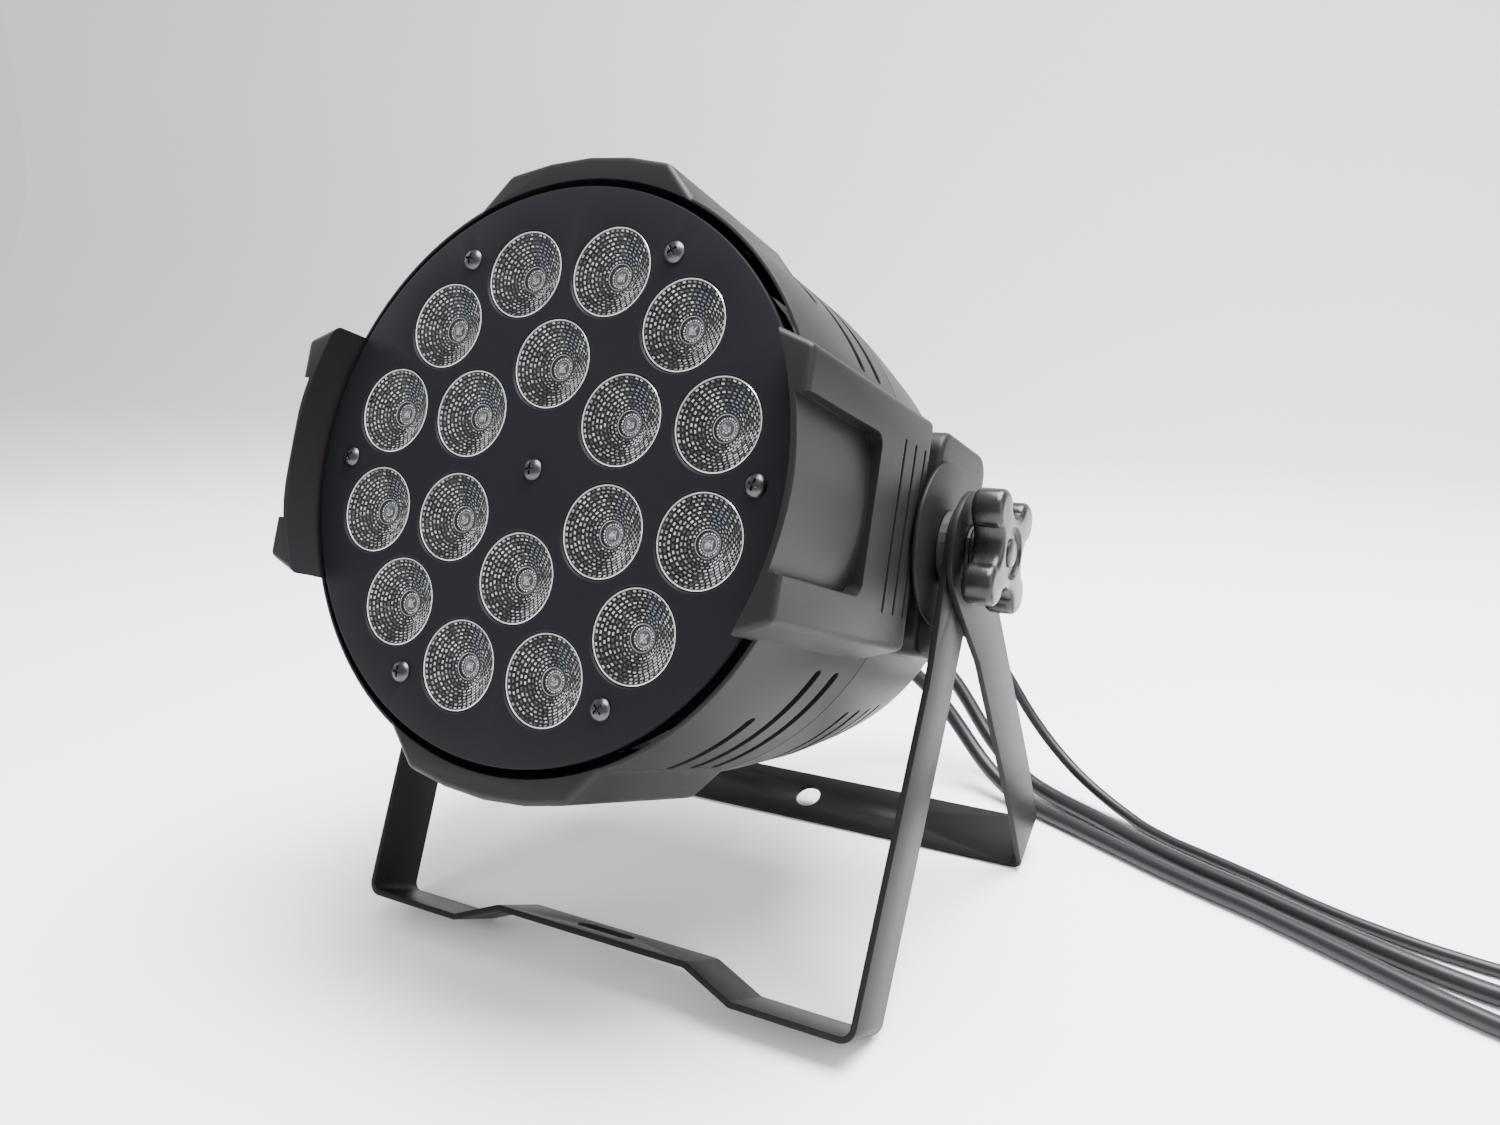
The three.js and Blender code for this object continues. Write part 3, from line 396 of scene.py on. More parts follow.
# plug: ribbed sleeve, moulded body with finger dents, blades, earth pin
PM = laid(COIL_X + 33.2, COIL_Y + 22.2, 10.2, 0)
sleeve = [(0, 0.3)] + [p for k in range(5) for p in ((3.2 + 0.26 * k, 0.3 + 4 * k), (3.4 + 0.26 * k, 0.8 + 4 * k), (3.45 + 0.26 * k, 3.0 + 4 * k), (3.0 + 0.26 * k, 3.4 + 4 * k))] + [(4.9, 20.5), (4.9, 22), (0, 22)]
plug = lathe("plug_sleeve", sleeve, 24)
body = prism("plug_body", round_rect(-12.2, 12.2, -9.7, 9.7, 4, 6), 20.2, 44.9, 'Y', None, 1.6, 4, True)
for s in (-1, 1):
    boolean(body, 'DIFFERENCE', [lathe("dent", [(0, 0), (14, 0), (14, 14), (0, 14)], 48, 'Z', Matrix.Translation((s * 24.6, 32, -7)))])
boolean(body, 'UNION', [plug])
place(body, PM)
done(body, rubber, "front_stand", "black_rubber", "mains_plug")
blades = join([prism("bl", round_rect(a, a + 1.5, -0.6, 5.7, 0.4, 3), 44, 61.8, 'Y', None, 0.3, 2, True) for a in (-7.1, 5.6)] + [lathe("pin", [(0, 44), (2.35, 44), (2.35, 61.5), (1.6, 63.6), (0, 64)], 24, 'Y', None, (0, -5.6))], "plug_blades")
place(blades, PM)
done(blades, brass, "front_stand", "connector_metal")
extra = {"mains_lead": [body, blades], "data_in_lead": [], "data_out_lead": []}
for node, key, x, y, h, male in (("data_in_connector", "data_in_lead", 345.3, 27.78, 99.7, True), ("data_out_connector", "data_out_lead", 345.3, 55.53, 90, False)):
    M = laid(x, y, 9.6, h)
    boot = lathe(key + "_boot", [(0, 0.3), (4.6, 0.3), (4.9, 1)] + [p for k in range(5) for p in ((5.0 + 0.3 * k, 2 + 3.4 * k), (5.1 + 0.3 * k, 4.4 + 3.4 * k), (4.6 + 0.3 * k, 4.7 + 3.4 * k), (4.6 + 0.3 * k, 5.2 + 3.4 * k))] + [(6.5, 20), (8.2, 21.5), (8.4, 22.5), (0, 22.5)], 48, 'Y', M)
    done(boot, rubber, "front_stand", "black_rubber")
    prof = [(0, 22), (8.2, 22), (8.8, 22.6), (8.8, 43.2), (8.4, 43.8), (8.4, 44.6), (9.3, 45.2), (9.4, 46), (9.4, 65.4), (8.9, 66.9)]
    if male:
        prof += [(8.2, 66.9), (8.1, 51.5), (0, 51.5)]
    else:
        prof += [(8.3, 66.9), (8.3, 66.2), (7.9, 66.0), (0, 66.0)]
    shell = lathe(key + "_shell", prof, 64)
    ring = [(4 * math.cos(a * RAD), 4 * math.sin(a * RAD)) for a in (90, 210, 330)]
    if male:
        pins = join([lathe("pin", [(0, 50), (1.15, 50), (1.15, 63), (0.6, 64), (0, 64)], 16, 'Y', None, p) for p in ring], key + "_pins")
        place(pins, M)
        done(pins, brass, "front_stand", "connector_metal")
        extra[key].append(pins)
    else:
        boolean(shell, 'DIFFERENCE', [join([lathe("h", [(0, 53), (1.5, 53), (1.5, 70), (0, 70)], 20, 'Y', None, p) for p in ring], "hs")])
    place(shell, M)
    done(shell, nickel, "front_stand", "connector_metal", node)
    extra[key] += [boot, shell]
# tie round the coil
path = [Vector((COIL_X - 28.0 + u, COIL_Y, w)) for u, w in round_rect(-9.0, 9.0, 0.05, 10.5, 3.0, 6)]
tb = bmesh.new()
rows = []
for p in path:
    c = Vector((COIL_X - 28.0, COIL_Y, 5.25))
    q = p - c; q.y = 0
    inn = c + q * 0.93
    rows.append([tb.verts.new((p.x * 0.001, (COIL_Y - 1.3) * 0.001, p.z * 0.001)), tb.verts.new((p.x * 0.001, (COIL_Y + 1.3) * 0.001, p.z * 0.001)),
                 tb.verts.new((inn.x * 0.001, (COIL_Y + 1.3) * 0.001, inn.z * 0.001)), tb.verts.new((inn.x * 0.001, (COIL_Y - 1.3) * 0.001, inn.z * 0.001))])
for i in range(len(rows)):
    a, b = rows[i], rows[(i + 1) % len(rows)]
    for k in range(4):
        tb.faces.new((a[k], a[(k + 1) % 4], b[(k + 1) % 4], b[k]))
tie_o = finish_bm(tb, "cord_tie")
done(tie_o, rubber, "front_stand", "black_rubber")
extra["mains_lead"].append(tie_o)

# strain reliefs: flange with a hex nut, dome, grooved sleeve
for name, x, r in (("mains", 30, 2.6), ("data_in", 0, 3.8), ("data_out", -30, 3.8)):
    n = 5
    pr = [(0, 192.2), (5.9, 192.2), (5.9, 197.35), (10.0, 197.35), (10.1, 197.7), (10.1, 201.2), (8.6, 202.3), (8.2, 205.8), (6.6, 207.9)]
    for k in range(n):
        f = k / n
        ra = 6.5 + (r + 1.0 - 6.5) * f
        pr += [(ra, 208.4 + 14 * f), (ra - 0.1, 210.0 + 14 * f), (ra - 0.9, 210.3 + 14 * f), (ra - 0.9, 210.8 + 14 * f)]
    pr += [(r + 0.9, 222.4), (r + 0.7, 222.9), (0, 222.9)]
    g = lathe(name + "_gland", pr, 48, 'Y', None, (x, -20))
    place(g, HM)
    done(g, rubber, "head", "black_rubber", name + "_strain_relief")
for key, node, far in (("data_in_lead", "data_in_cord", "connector"), ("data_out_lead", "data_out_cord", "connector"), ("mains_lead", "mains_cord", "plug")):
    o, P, L, r = cords[key]
    if key == "mains_lead":
        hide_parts(node, "mains_cord_coil")
    else:
        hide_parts(node)
    a, b = P[0] * 0.001, None
    acc = 0
    for i in range(1, len(P)):
        acc += (P[i] - P[i - 1]).length
        if acc > 150:
            b = P[i] * 0.001
            break
    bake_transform(o)

# ---------------------------------------------------------------------- stage
def floor_mat():
    m, t, b = new_mat("floor_paper")
    N = t.nodes
    tc = N.new('ShaderNodeTexCoord')
    n = N.new('ShaderNodeTexNoise'); n.inputs['Scale'].default_value = 3
    mix = N.new('ShaderNodeMix'); mix.data_type = 'RGBA'
    mix.inputs[6].default_value = (0.88, 0.88, 0.88, 1); mix.inputs[7].default_value = (0.93, 0.93, 0.93, 1)
    t.links.new(tc.outputs['Object'], n.inputs['Vector']); t.links.new(n.outputs['Fac'], mix.inputs[0]); t.links.new(mix.outputs[2], b.inputs['Base Color'])
    b.inputs['Roughness'].default_value = 0.75
    b.inputs['Specular IOR Level'].default_value = 0.2
    return m
fb = bmesh.new()
prof = [(-3.0, 0.0), (1.3, 0.0)] + [(1.3 + 0.8 * math.sin(q * RAD), 0.8 - 0.8 * math.cos(q * RAD)) for q in range(6, 91, 6)] + [(2.1, 3.2)]
rows = [[fb.verts.new((x, y, z)) for x in (-4, 4)] for y, z in prof]
for a, b in zip(rows, rows[1:]):
    fb.faces.new((a[0], a[1], b[1], b[0]))
floor = finish_bm(fb, "floor", None, False)
shade(floor, 60); paint(floor, floor_mat())
floor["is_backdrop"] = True
def area(name, loc, to, w, h, power, col=(1, 1, 1)):
    d = bpy.data.lights.new(name, 'AREA'); d.shape = 'RECTANGLE'; d.size = w; d.size_y = h; d.energy = power; d.color = col
    o = bpy.data.objects.new(name, d); scene.collection.objects.link(o)
    o.location = loc
    o.rotation_euler = (Vector(to) - Vector(loc)).to_track_quat('-Z', 'Y').to_euler()
    return o
area("key", (0.35, 0.15, 1.35), (0, 0, 0.15), 1.1, 0.9, 110)
area("right", (1.35, -0.15, 0.55), (0, 0, 0.15), 0.9, 1.0, 9)
fill = area("front", (-0.55, -1.5, 0.75), (0, 0, 0.15), 0.8, 0.8, 16)
fill.visible_glossy = False
area("left", (-1.3, 0.1, 0.7), (0, 0, 0.15), 0.6, 0.9, 5)
w = bpy.data.worlds.new("world"); w.use_nodes = True
w.node_tree.nodes["Background"].inputs[0].default_value = (0.96, 0.97, 1.0, 1)
w.node_tree.nodes["Background"].inputs[1].default_value = 0.95
scene.world = w

# ------------------------------------------------------------- front housing
def slot_cutter(y, a0, a1, hw, r0, r1, n=16):
    """a curved slot with round ends, cut out through the wall."""
    e = hw / 104.0 / RAD
    stations = []
    for i in range(1, 8):
        q = 90 * i / 8 * RAD
        stations.append((a0 + e * (1 - math.cos(q)), hw * math.sin(q)))
    for i in range(n + 1):
        stations.append((a0 + e + (a1 - a0 - 2 * e) * i / n, hw))
    for i in range(7, 0, -1):
        q = 90 * i / 8 * RAD
        stations.append((a1 - e * (1 - math.cos(q)), hw * math.sin(q)))
    bm = bmesh.new()
    rows = []
    for a, h in stations:
        c, t = math.cos(a * RAD), math.sin(a * RAD)
        rows.append([bm.verts.new((r * c, v, r * t)) for r, v in ((r0, y - h), (r1, y - h), (r1, y + h), (r0, y + h))])
    for a, b in zip(rows, rows[1:]):
        for k in range(4):
            bm.faces.new((a[k], a[(k + 1) % 4], b[(k + 1) % 4], b[k]))
    bm.faces.new(rows[0]); bm.faces.new(rows[-1])
    return finish_bm(bm, "slot")
SEG = 192
can = lathe("can_front", [(0, 2), (103.7, 2), (104.25, 2.3), (104.4, 2.9), (103.8, 87.5), (0, 87.5)], SEG)

def ear(s):
    o = prism("ear", [(s * x, z) for x, z in ((82, -50), (108.9, -41), (108.9, 41), (82, 50))], -13, 83, 'Y', None, 2.2, 4)
    for v in o.data.vertices:
        if abs(v.co.x) > 100:
            v.co.x -= s * 3.5 * (84 - v.co.y) / 97 * min(1, (abs(v.co.x) - 84) / 20)
    return o
for s in (1, -1):
    roof = prism("roof", [(x, s * z) for x, z in ((-46, 84), (-46, 93.6), (-34, 107), (-17, 110.4), (0, 111.6), (17, 110.4), (34, 107), (46, 93.6), (46, 84))], 1.4, 83, 'Y', None, 2.4, 4)
    boolean(can, 'UNION', [roof, ear(s)])
for s in (1, -1):
    win = prism("win", round_rect(-15.2, 42, -27, 27, 4.5, 6), s * 90, s * 118, 'X')
    boolean(win, 'DIFFERENCE', [lathe("core", [(0, -30), (104.9, -30), (104.9, 60), (0, 60)], SEG)])
    boolean(can, 'DIFFERENCE', [win])
boolean(can, 'DIFFERENCE', [lathe("bore", [(0, -20), (103, -20), (103, 8.2), (101.2, 11), (100.6, 90), (0, 90)], SEG)])
cut = []
for a0, a1, y in [(43, 64, 41), (30, 64, 57), (30, 64, 72)]:
    for q0, q1 in ((a0, a1), (180 - a1, 180 - a0), (180 + a0, 180 + a1), (360 - a1, 360 - a0)):
        cut.append(slot_cutter(y, q0, q1, 2.4, 96, 107.5))
boolean(can, 'DIFFERENCE', [join(cut, "cuts")])
gro = []
for s in (1, -1):
    for y in (60, 69, 77.5):
        gro.append(prism("gro", round_rect(y - 0.8, y + 0.8, -30, 30, 0.7, 4), s * 107.0, s * 114, 'X'))
boolean(can, 'DIFFERENCE', [join(gro, "gros")])
place(can, HM)
done(can, cast, "head", "cast_black", "front_housing", deg=34)

# -------------------------------------------------------------- rear housing
rear = lathe("can_rear", [(0, 87.8), (103.4, 87.8), (103.8, 88.2), (102.6, 106), (98.8, 142), (93.9, 171.4), (93.3, 172), (0, 172)], SEG)
for s in (1, -1):
    b = prism("blk", round_rect(92.6, 145.2, -42, 42, 9, 8), s * 78, s * 109.3, 'X', None, 2.2, 4, True)
    boolean(rear, 'UNION', [b])
boolean(rear, 'DIFFERENCE', [lathe("bore", [(0, 80), (100.6, 80), (100.6, 87.5), (99.4, 107), (95.6, 142), (90.3, 173.5), (0, 175)], SEG)])
boolean(rear, 'DIFFERENCE', [lathe("stud", [(0, -125), (4.4, -125), (4.4, 125), (0, 125)], 32, 'X', None, (107, 0))])
cut = []
for c in (52, 128, 232, 308):
    for y in (118, 132, 146, 160):
        cut.append(slot_cutter(y, c - 11, c + 11, 2.0, 84, 106))
boolean(rear, 'DIFFERENCE', [join(cut, "cuts2")])
place(rear, HM)
done(rear, cast, "head", "cast_black", "rear_housing", deg=34)
for s, n in ((-1, "left"), (1, "right")):
    pad = prism("pad_" + n, [(104.4 + 30.7 * math.cos(a * RAD), 0.6 + 30.7 * math.sin(a * RAD)) for a in range(0, 360, 4)], s * 109.8, s * 111.45, 'X', None, 0.5, 2, True)
    boolean(pad, 'DIFFERENCE', [lathe("h", [(0, -125), (4.5, -125), (4.5, 125), (0, 125)], 32, 'X', None, (107, 0))])
    place(pad, HM)
    done(pad, strap, "head", "cast_black", "pivot_pad_" + n)

# ---------------------------------------------------------------- rear cover
cover = lathe("cover", [(0, 172.4), (93.2, 172.4), (91.4, 184), (90.2, 188.2), (87, 192), (83.4, 195.2), (80, 196.6), (76, 197), (0, 197)], SEG)
boolean(cover, 'DIFFERENCE', [lathe("in", [(0, 170), (90.4, 170), (88.8, 184), (84.4, 190.4), (78, 194.2), (0, 194.2)], 128)])
loop = prism("loop", round_rect(-12, 12, 64, 71, 2.5, 5), 195.5, 209.9, 'Y', None, 1.2, 3, True)
boolean(loop, 'DIFFERENCE', [prism("lo", round_rect(-8, 8, 197.2, 206.4, 3, 5), 60, 75, 'Z')])
boolean(cover, 'UNION', [loop])
holes = [prism("dh", round_rect(-22.2, 22.2, 22.8, 39.2, 1.5, 4), 190, 200, 'Y')]
for x in (-30, -10, 10, 30):
    holes.append(lathe("bh", [(0, 190), (4.5, 190), (4.5, 200), (0, 200)], 32, 'Y', None, (x, 7)))
for x in (-30, 0, 30):
    holes.append(lathe("gh", [(0, 190), (6.3, 190), (6.3, 200), (0, 200)], 32, 'Y', None, (x, -20)))
for z in (-46, -54, -62):
    holes.append(prism("vh", round_rect(-34, 34, z - 1.6, z + 1.6, 1.5, 4), 190, 200, 'Y'))
boolean(cover, 'DIFFERENCE', [join(holes, "cov_holes")])
place(cover, HM)
done(cover, cast, "head", "cast_black", "rear_cover", deg=34)

# ---------------------------------------------------------------- face plate
lens_at = [(71.5, 15 + 30 * k) for k in range(12)] + [(37.1, 30 + 60 * k) for k in range(6)]
centres = [(r * math.cos(a * RAD), r * math.sin(a * RAD)) for r, a in lens_at]
screws = [(86.3 * math.cos(60 * k * RAD), 86.3 * math.sin(60 * k * RAD)) for k in range(6)] + [(0.0, 0.0)]
plate = lathe("plate", [(0, 0), (99.3, 0), (99.8, 0.2), (99.9, 0.7), (99.9, 2), (0, 2)], SEG)
cut = [lathe("lh", [(0, -2), (16.6, -2), (16.6, -0.01), (15.95, 0.62), (15.95, 5), (0, 5)], 72, 'Y', None, c) for c in centres]
cut += [lathe("sh", [(0, -2), (1.75, -2), (1.75, 5), (0, 5)], 20, 'Y', None, c) for c in screws]
boolean(plate, 'DIFFERENCE', [join(cut, "plate_holes")])
place(plate, HM)
done(plate, plate_m, "head", "plate_black", "face_plate", deg=30)

# --------------------------------------------------------------------- lenses
def lens_mesh(seed):
    rnd = random.Random(seed)
    bm = bmesh.new()
    D = 5                                             # index of the die
    def highlight_patch_distances(a):
        """how lit that side of the cup is, as painted light: a broad painted highlight low on the right, a small cool
        painted reflection high on the right.
        """
        d = abs((a + 38 + 180) % 360 - 180)
        e = abs((a - 62 + 180) % 360 - 180)
        f = abs((a - 170 + 180) % 360 - 180)
        return d, e, f
    radii = [15.1, 13.95, 12.8, 11.65, 10.5, 9.35, 8.2, 7.15, 6.1, 5.1]
    N = 46
    def yy(r): return 0.95 + 7.5 * (1 - (r / 15.1) ** 1.25)
    for k in range(len(radii) - 1):
        r0, r1 = radii[k], radii[k + 1]
        n = max(26, int(N * (r0 + r1) / 2 / 14.6))
        off = (k % 2) * 0.5
        for i in range(n):
            a0, a1 = (i + off) / n * 360, (i + 1 + off) / n * 360
            am = (a0 + a1) / 2
            d, e, f = highlight_patch_distances(am)
            P = lambda r, a, y: (r * math.cos(a * RAD), y, r * math.sin(a * RAD))
            y0, y1 = yy(r0), yy(r1)
            # cell: a dark floor with a small raised facet in it
            vs = [bm.verts.new(P(r0, a0, y0)), bm.verts.new(P(r0, a1, y0)), bm.verts.new(P(r1, a1, y1)), bm.verts.new(P(r1, a0, y1))]
            in_highlight_patch = d < 30 and 7.0 < r0 < 15.0
            ia = 0.14 if in_highlight_patch else 0.24
            ir = 0.24 if in_highlight_patch else 0.28
            ya = [y0 + (y1 - y0) * t for t in (ir, 1 - ir)]
            ra = [r0 + (r1 - r0) * t for t in (ir, 1 - ir)]
            aa = (a0 + (a1 - a0) * ia, a1 - (a1 - a0) * ia)
            lift = 0.28
            iv = [bm.verts.new(P(ra[0], aa[0], ya[0] - lift)), bm.verts.new(P(ra[0], aa[1], ya[0] - lift)), bm.verts.new(P(ra[1], aa[1], ya[1] - lift)), bm.verts.new(P(ra[1], aa[0], ya[1] - lift))]
            f0 = bm.faces.new(iv)
            # painted highlight: facets in the bright patches, and some at random elsewhere, take the bright and cool
            # tones
            q = rnd.random()
            if in_highlight_patch:
                f0.material_index = 3 if q < 0.8 - 0.014 * d else (2 if q < 0.93 else 1)
            elif d < 44:
                f0.material_index = 3 if q < 0.55 else 2
            elif e < 17 and 6 < r0 < 13.5:
                f0.material_index = 4 if q < 0.8 else 2
            elif f < 26 and r0 > 8:
                f0.material_index = 3 if q < 0.42 else (2 if q < 0.8 else 1)
            else:
                f0.material_index = 3 if q < (0.36 if r0 > 11 else 0.2) else (2 if q < 0.66 else 1)
            for j in range(4):
                fc = bm.faces.new((vs[j], vs[(j + 1) % 4], iv[(j + 1) % 4], iv[j]))
                fc.material_index = 0
    # flat ring, dotted collar and the die at the bottom of the cup
    def ringf(r0, y0, r1, y1, mi, n=48):
        for i in range(n):
            a0, a1 = i / n * 2 * math.pi, (i + 1) / n * 2 * math.pi
            fc = bm.faces.new([bm.verts.new((r * math.cos(a), y, r * math.sin(a))) for r, a, y in ((r0, a0, y0), (r0, a1, y0), (r1, a1, y1), (r1, a0, y1))])
            fc.material_index = mi
    yb = yy(5.1)
    ringf(15.62, 0.62, 15.3, 0.42, 2, 72); ringf(15.3, 0.42, 15.1, 0.95, 2, 72)
    ringf(5.1, yb, 4.7, yb - 0.7, 1); ringf(4.7, yb - 0.7, 4.45, yb - 0.6, 2); ringf(4.45, yb - 0.6, 3.9, yb + 0.3, 0)
    # the collar dots alternate painted highlight and mid tone
    for i in range(22):
        a = i / 22 * 2 * math.pi
        for r0, r1, h in ((3.75, 3.25, 0.0),):
            da = 0.085
            fc = bm.faces.new([bm.verts.new((r * math.cos(b), yb + 0.25, r * math.sin(b))) for r, b in ((r0, a - da), (r0, a + da), (r1, a + da), (r1, a - da))])
            fc.material_index = 3 if i % 3 else 2
    ringf(3.9, yb + 0.3, 2.9, yb + 0.4, 0); ringf(2.9, yb + 0.4, 2.6, yb + 0.3, 2)
    ringf(2.6, yb + 0.3, 0.02, yb + 0.9, 1, 24)
    g = 6; w = 2.9
    for i in range(g):
        for j in range(g):
            x0, z0 = -w / 2 + w * i / g, -w / 2 + w * j / g
            s = w / g * 0.8
            fc = bm.faces.new([bm.verts.new((x, yb + 0.15, z)) for x, z in ((x0, z0), (x0 + s, z0), (x0 + s, z0 + s), (x0, z0 + s))])
            fc.material_index = rnd.choice((1, 2, 2, 3, D))
    # clear front, very slightly domed
    R = [(0.0, 0.35), (5, 0.37), (10, 0.45), (14, 0.6), (15.5, 0.75)]
    for (ra_, ya_), (rb_, yb_) in zip(R, R[1:]):
        n = 48
        for i in range(n):
            a0, a1 = i / n * 2 * math.pi, (i + 1) / n * 2 * math.pi
            if ra_ == 0:
                fc = bm.faces.new([bm.verts.new(p) for p in ((0, ya_, 0), (rb_ * math.cos(a0), yb_, rb_ * math.sin(a0)), (rb_ * math.cos(a1), yb_, rb_ * math.sin(a1)))])
            else:
                fc = bm.faces.new([bm.verts.new((r * math.cos(a), y, r * math.sin(a))) for r, a, y in ((ra_, a0, ya_), (rb_, a0, yb_), (rb_, a1, yb_), (ra_, a1, ya_))])
            fc.material_index = 6
    # outer wall of the collimator, closing it off behind
    Rw = [(15.6, 0.7), (15.5, 3.4), (6.2, 17.6), (0.01, 17.7)]
    for (ra_, ya_), (rb_, yb_) in zip(Rw, Rw[1:]):
        ringf(ra_, ya_, rb_, yb_, 0, 48)
    bmesh.ops.remove_doubles(bm, verts=bm.verts[:], dist=0.0008)
    me = bpy.data.meshes.new("lens_%d" % seed)
    bm.to_mesh(me); bm.free()
    for m in (l_dark, l_deep, l_mid, l_painted_highlight, l_painted_cool_reflection, die_m, clear):
        me.materials.append(m)
    me.transform(MM)
    return me
die_m = facet("lens_die", (0.55, 0.50, 0.30), 0.3, 0.0)
meshes = [lens_mesh(s) for s in (3, 8, 21)]
names = sorted(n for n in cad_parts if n.startswith("lens_"))
HI = HM.inverted()
for i, n in enumerate(names):
    lo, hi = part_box(n)
    c = HI @ ((Vector(lo) + Vector(hi)) / 2)
    k = min(range(18), key=lambda j: (centres[j][0] - c.x) ** 2 + (centres[j][1] - c.z) ** 2)
    o = link(n + "_optic", meshes[i % 3].copy())
    o.data.transform(HM @ Matrix.Translation((centres[k][0], 0, centres[k][1])) @ Matrix.Scale(1000, 4))
    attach(o, "head"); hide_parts(n)

# --------------------------------------------------------------- face screws
scr = lathe("screw", [(0, -2.25), (1.0, -2.22), (2.0, -2.0), (3.0, -1.45), (3.6, -0.85), (3.85, -0.35), (3.75, -0.1), (1.5, -0.1), (1.45, 17.3), (0, 17.3)], 40)
cross = prism("cr", box_pts(-2.0, 2.0, -0.42, 0.42), -4, -1.15, 'Y')
boolean(cross, 'UNION', [prism("cr2", box_pts(-0.42, 0.42, -2.0, 2.0), -4, -1.15, 'Y')])
boolean(scr, 'DIFFERENCE', [cross])
for i, n in enumerate(sorted(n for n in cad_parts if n.startswith("face_screw"))):
    lo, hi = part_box(n)
    c = HI @ ((Vector(lo) + Vector(hi)) / 2)
    k = min(range(7), key=lambda j: (screws[j][0] - c.x) ** 2 + (screws[j][1] - c.z) ** 2)
    o = link(n + "_head", scr.data.copy())
    o.data.transform(HM @ Matrix.Translation((screws[k][0], 0, screws[k][1])) @ Matrix.Rotation((17 + 41 * i) * RAD, 4, 'Y'))
    done(o, steel, "head", "screw_steel", n)
bpy.data.objects.remove(scr)

# ------------------------------------------------------------------- brackets
def corner(p, a, b, r, n):
    """n+1 points of a fillet of radius r at p between directions to a and b."""
    u = (Vector(a) - Vector(p)).normalized(); v = (Vector(b) - Vector(p)).normalized()
    ang = u.angle(v)
    d = r / math.tan(ang / 2)
    A = Vector(p) + u * d; B = Vector(p) + v * d
    O = Vector(p) + (u + v).normalized() * (r / math.sin(ang / 2))
    a0 = math.atan2(A.y - O.y, A.x - O.x); a1 = math.atan2(B.y - O.y, B.x - O.x)
    while a1 - a0 > math.pi: a1 -= 2 * math.pi
    while a1 - a0 < -math.pi: a1 += 2 * math.pi
    return [(O.x + r * math.cos(a0 + (a1 - a0) * i / n), O.y + r * math.sin(a0 + (a1 - a0) * i / n)) for i in range(n + 1)]
def strip(path, t):
    """closed outline of a strip of thickness t on the left of the path."""
    ins = []
    for i, p in enumerate(path):
        a = Vector(path[max(0, i - 1)]); b = Vector(path[min(len(path) - 1, i + 1)]); p = Vector(p)
        d0 = (p - a).normalized() if i else (b - p).normalized()
        d1 = (b - p).normalized() if i < len(path) - 1 else d0
        n0 = Vector((-d0.y, d0.x)); n1 = Vector((-d1.y, d1.x))
        m = (n0 + n1).normalized()
        ins.append(tuple(p + m * (t / max(0.3, m.dot(n0)))))
    return list(path) + ins[::-1]
def arm_outline(hw, ln, rh):
    d = 46; a = math.asin(min(1, (rh - hw) / d))
    pts = [(-hw, -ln - 6), (-hw, -d)]
    a0, a1 = math.pi + a, -a
    for i in range(57):
        q = a0 + (a1 - a0) * i / 56
        pts.append((rh * math.cos(q), rh * math.sin(q)))
    return pts + [(hw, -d), (hw, -ln - 6)]
def bracket(name, path, hw, ln, rh, holes, M, node, body):
    o = prism(name, strip(path, 2.3), -60, 60, 'Y')
    boolean(o, 'INTERSECT', [prism("ol", arm_outline(hw, ln, rh), -130, 130, 'X')])
    boolean(o, 'DIFFERENCE', [join(holes, "holes")])
    bm = bmesh.new(); bm.from_mesh(o.data)
    bmesh.ops.remove_doubles(bm, verts=bm.verts[:], dist=0.001)
    bm.to_mesh(o.data); bm.free()
    m = o.modifiers.new("b", 'BEVEL'); m.width = 0.35; m.segments = 2; m.limit_method = 'ANGLE'; m.angle_limit = 50 * RAD; m.use_clamp_overlap = True
    bpy.context.view_layer.update(); apply_mods(o)
    place(o, M)
    return done(o, strap, body, "bracket_black", node, deg=30)
def bolt_hole(): return lathe("bh", [(0, -135), (4.4, -135), (4.4, 135), (0, 135)], 40, 'X')
ZB = -177.7
base = [(-118.2, 24), (-118.2, -54), (-113.7, ZB), (-65, ZB), (-44, ZB + 8.6), (44, ZB + 8.6), (65, ZB), (113.7, ZB), (118.2, -54), (118.2, 24)]
P = [base[0], base[1]] + corner(base[2], base[1], base[3], 6, 10)
for k in (3, 4, 5, 6):
    P += corner(base[k], base[k - 1], base[k + 1], 4, 5)
P += corner(base[7], base[6], base[8], 6, 10) + [base[8], base[9]]
bracket("bracket_front", P, 12.9, 177.7, 17, [bolt_hole(), prism("sl", round_rect(-13, 13, -4.6, 4.6, 4.5, 8), ZB - 2, ZB + 22, 'Z')], FM, "front_bracket", "front_stand")
ZR = -179.0
base = [(-120.8, 26), (-120.8, -14), (-123.0, -136), (-122.7, ZR), (122.7, ZR), (123.0, -136), (120.8, -14), (120.8, 26)]
P = base[:3] + corner(base[3], base[2], base[4], 6, 10) + corner(base[4], base[3], base[5], 6, 10) + base[5:]
bracket("bracket_rear", P, 13.4, 179.0, 21.5, [bolt_hole(), lathe("h1", [(0, ZR - 2), (6.3, ZR - 2), (6.3, ZR + 8), (0, ZR + 8)], 48, 'Z', None, (9, 0))] +
        [lathe("h2", [(0, ZR - 2), (3.2, ZR - 2), (3.2, ZR + 8), (0, ZR + 8)], 32, 'Z', None, (x, 0)) for x in (-60, 60)], BM, "rear_bracket", "rear_stand")

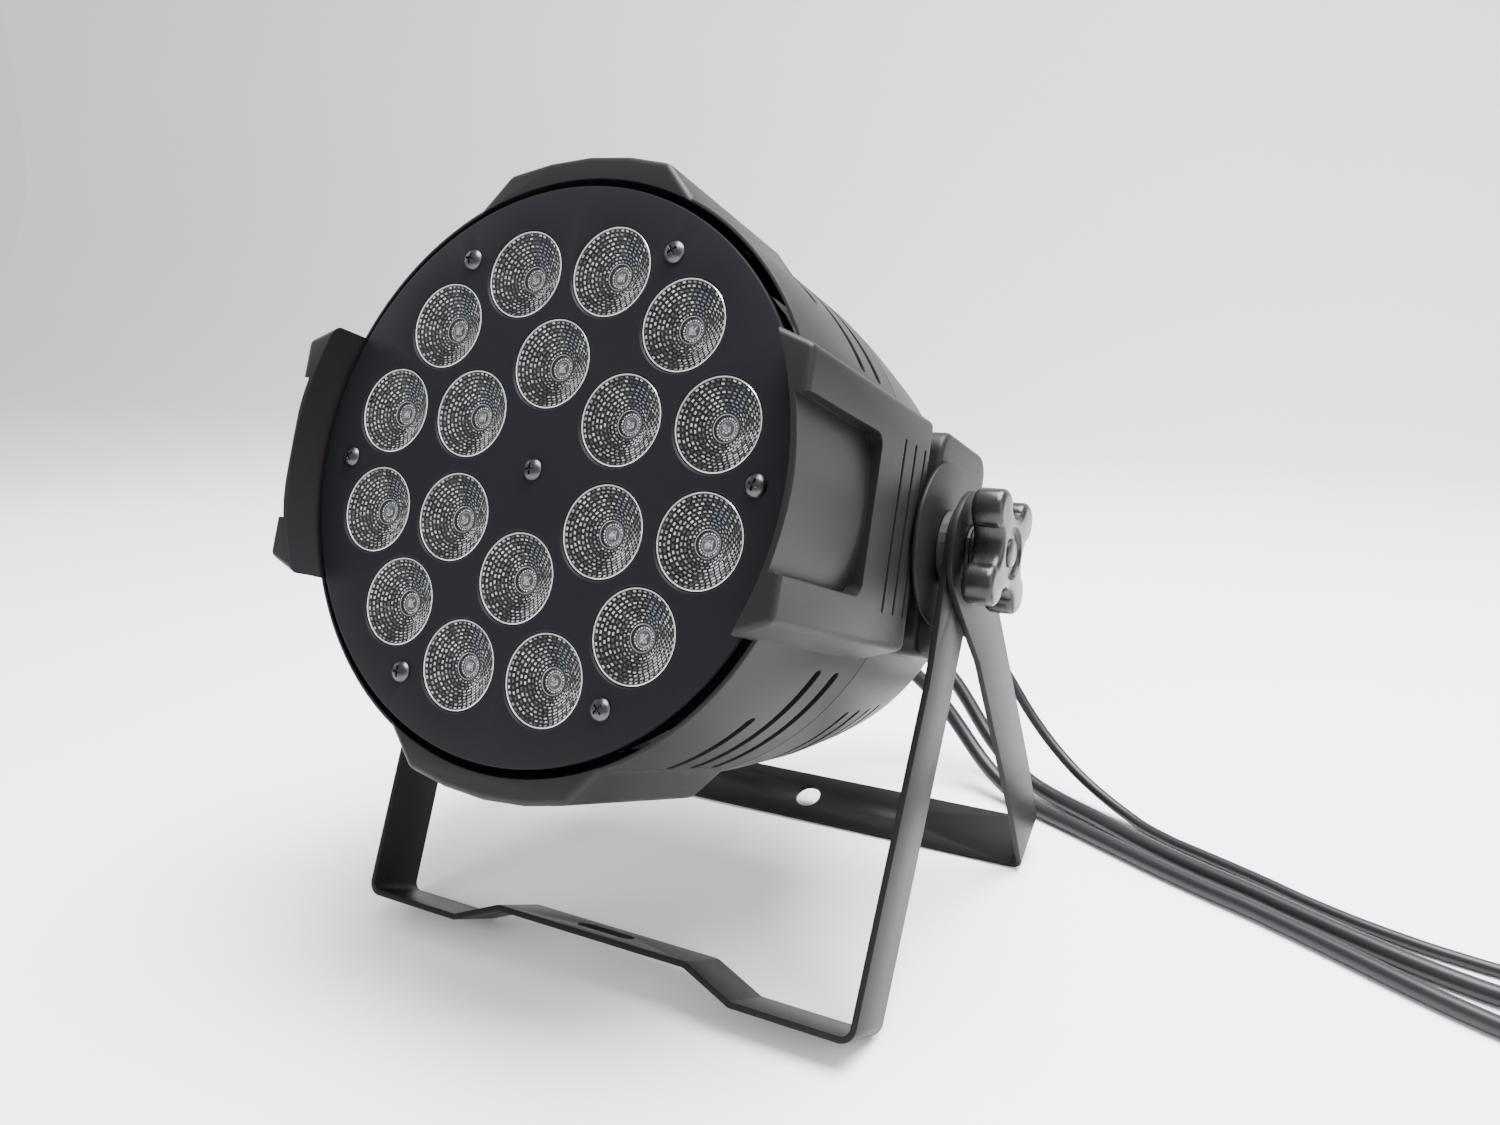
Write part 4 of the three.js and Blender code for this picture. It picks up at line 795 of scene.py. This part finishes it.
# ----------------------------------------------------------- knobs and washers
for s, n in ((-1, "left"), (1, "right")):
    pts = []
    for i in range(4):
        c = (45 + 90 * i) * RAD
        for j in range(-9, 10):
            q = c + j * 12.2 * RAD
            pts.append((19.0 * math.cos(c) + 7.6 * math.cos(q), 19.0 * math.sin(c) + 7.6 * math.sin(q)))
        m = (90 + 90 * i) * RAD
        for j in range(-4, 5):
            q = m + math.pi - j * 10.4 * RAD
            pts.append((23.2 * math.cos(m) + 9.9 * math.cos(q), 23.2 * math.sin(m) + 9.9 * math.sin(q)))
    k = prism("knob_" + n, pts, s * 124.5, s * 136.3, 'X', None, 2.6, 6, True)
    boolean(k, 'DIFFERENCE', [lathe("dish", [(0, s * 134.9), (8.6, s * 134.9), (9.6, s * 136.0), (10.2, s * 138), (0, s * 138)], 64, 'X')])
    boolean(k, 'UNION', [lathe("cap", [(0, s * 134.2), (5.2, s * 134.2), (5.2, s * 135.6), (4.4, s * 136.1), (0, s * 136.2)], 48, 'X')])
    boolean(k, 'UNION', [lathe("hub", [(0, s * 122.5), (9.2, s * 122.5), (9.2, s * 125.4), (0, s * 125.4)], 48, 'X')])
    place(k, KM)
    done(k, knob_m, n + "_knob", "knob_plastic", "lock_knob_" + n, deg=40)
    st = lathe("stud_" + n, [(0, s * 96.2), (3.2, s * 96.2), (3.95, s * 97), (3.95, s * 124), (0, s * 124)], 40, 'X')
    place(st, KM)
    done(st, steel, n + "_knob", "screw_steel")

# -------------------------------------- CAD nodes that keep their own shape
slot_mat = {"cast_black": cast, "plate_black": plate_m, "lens_clear": clear, "screw_steel": steel, "bracket_black": strap, "knob_plastic": knob_m, "black_rubber": rubber,
            "cord_jacket": jacket, "connector_metal": nickel, "bare_aluminium": alu, "circuit_board": board, "display_glass": glassy, "button_plastic": key_m}
for n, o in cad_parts.items():
    for sl in o.material_slots:
        nm = (sl.material.name if sl.material else "").split(".")[0]
        if nm in slot_mat:
            sl.material = slot_mat[nm]
        else:
            sl.material = cast
    if n == "led_board":
        for sl in o.material_slots:
            sl.material = inside

lo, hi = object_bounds()
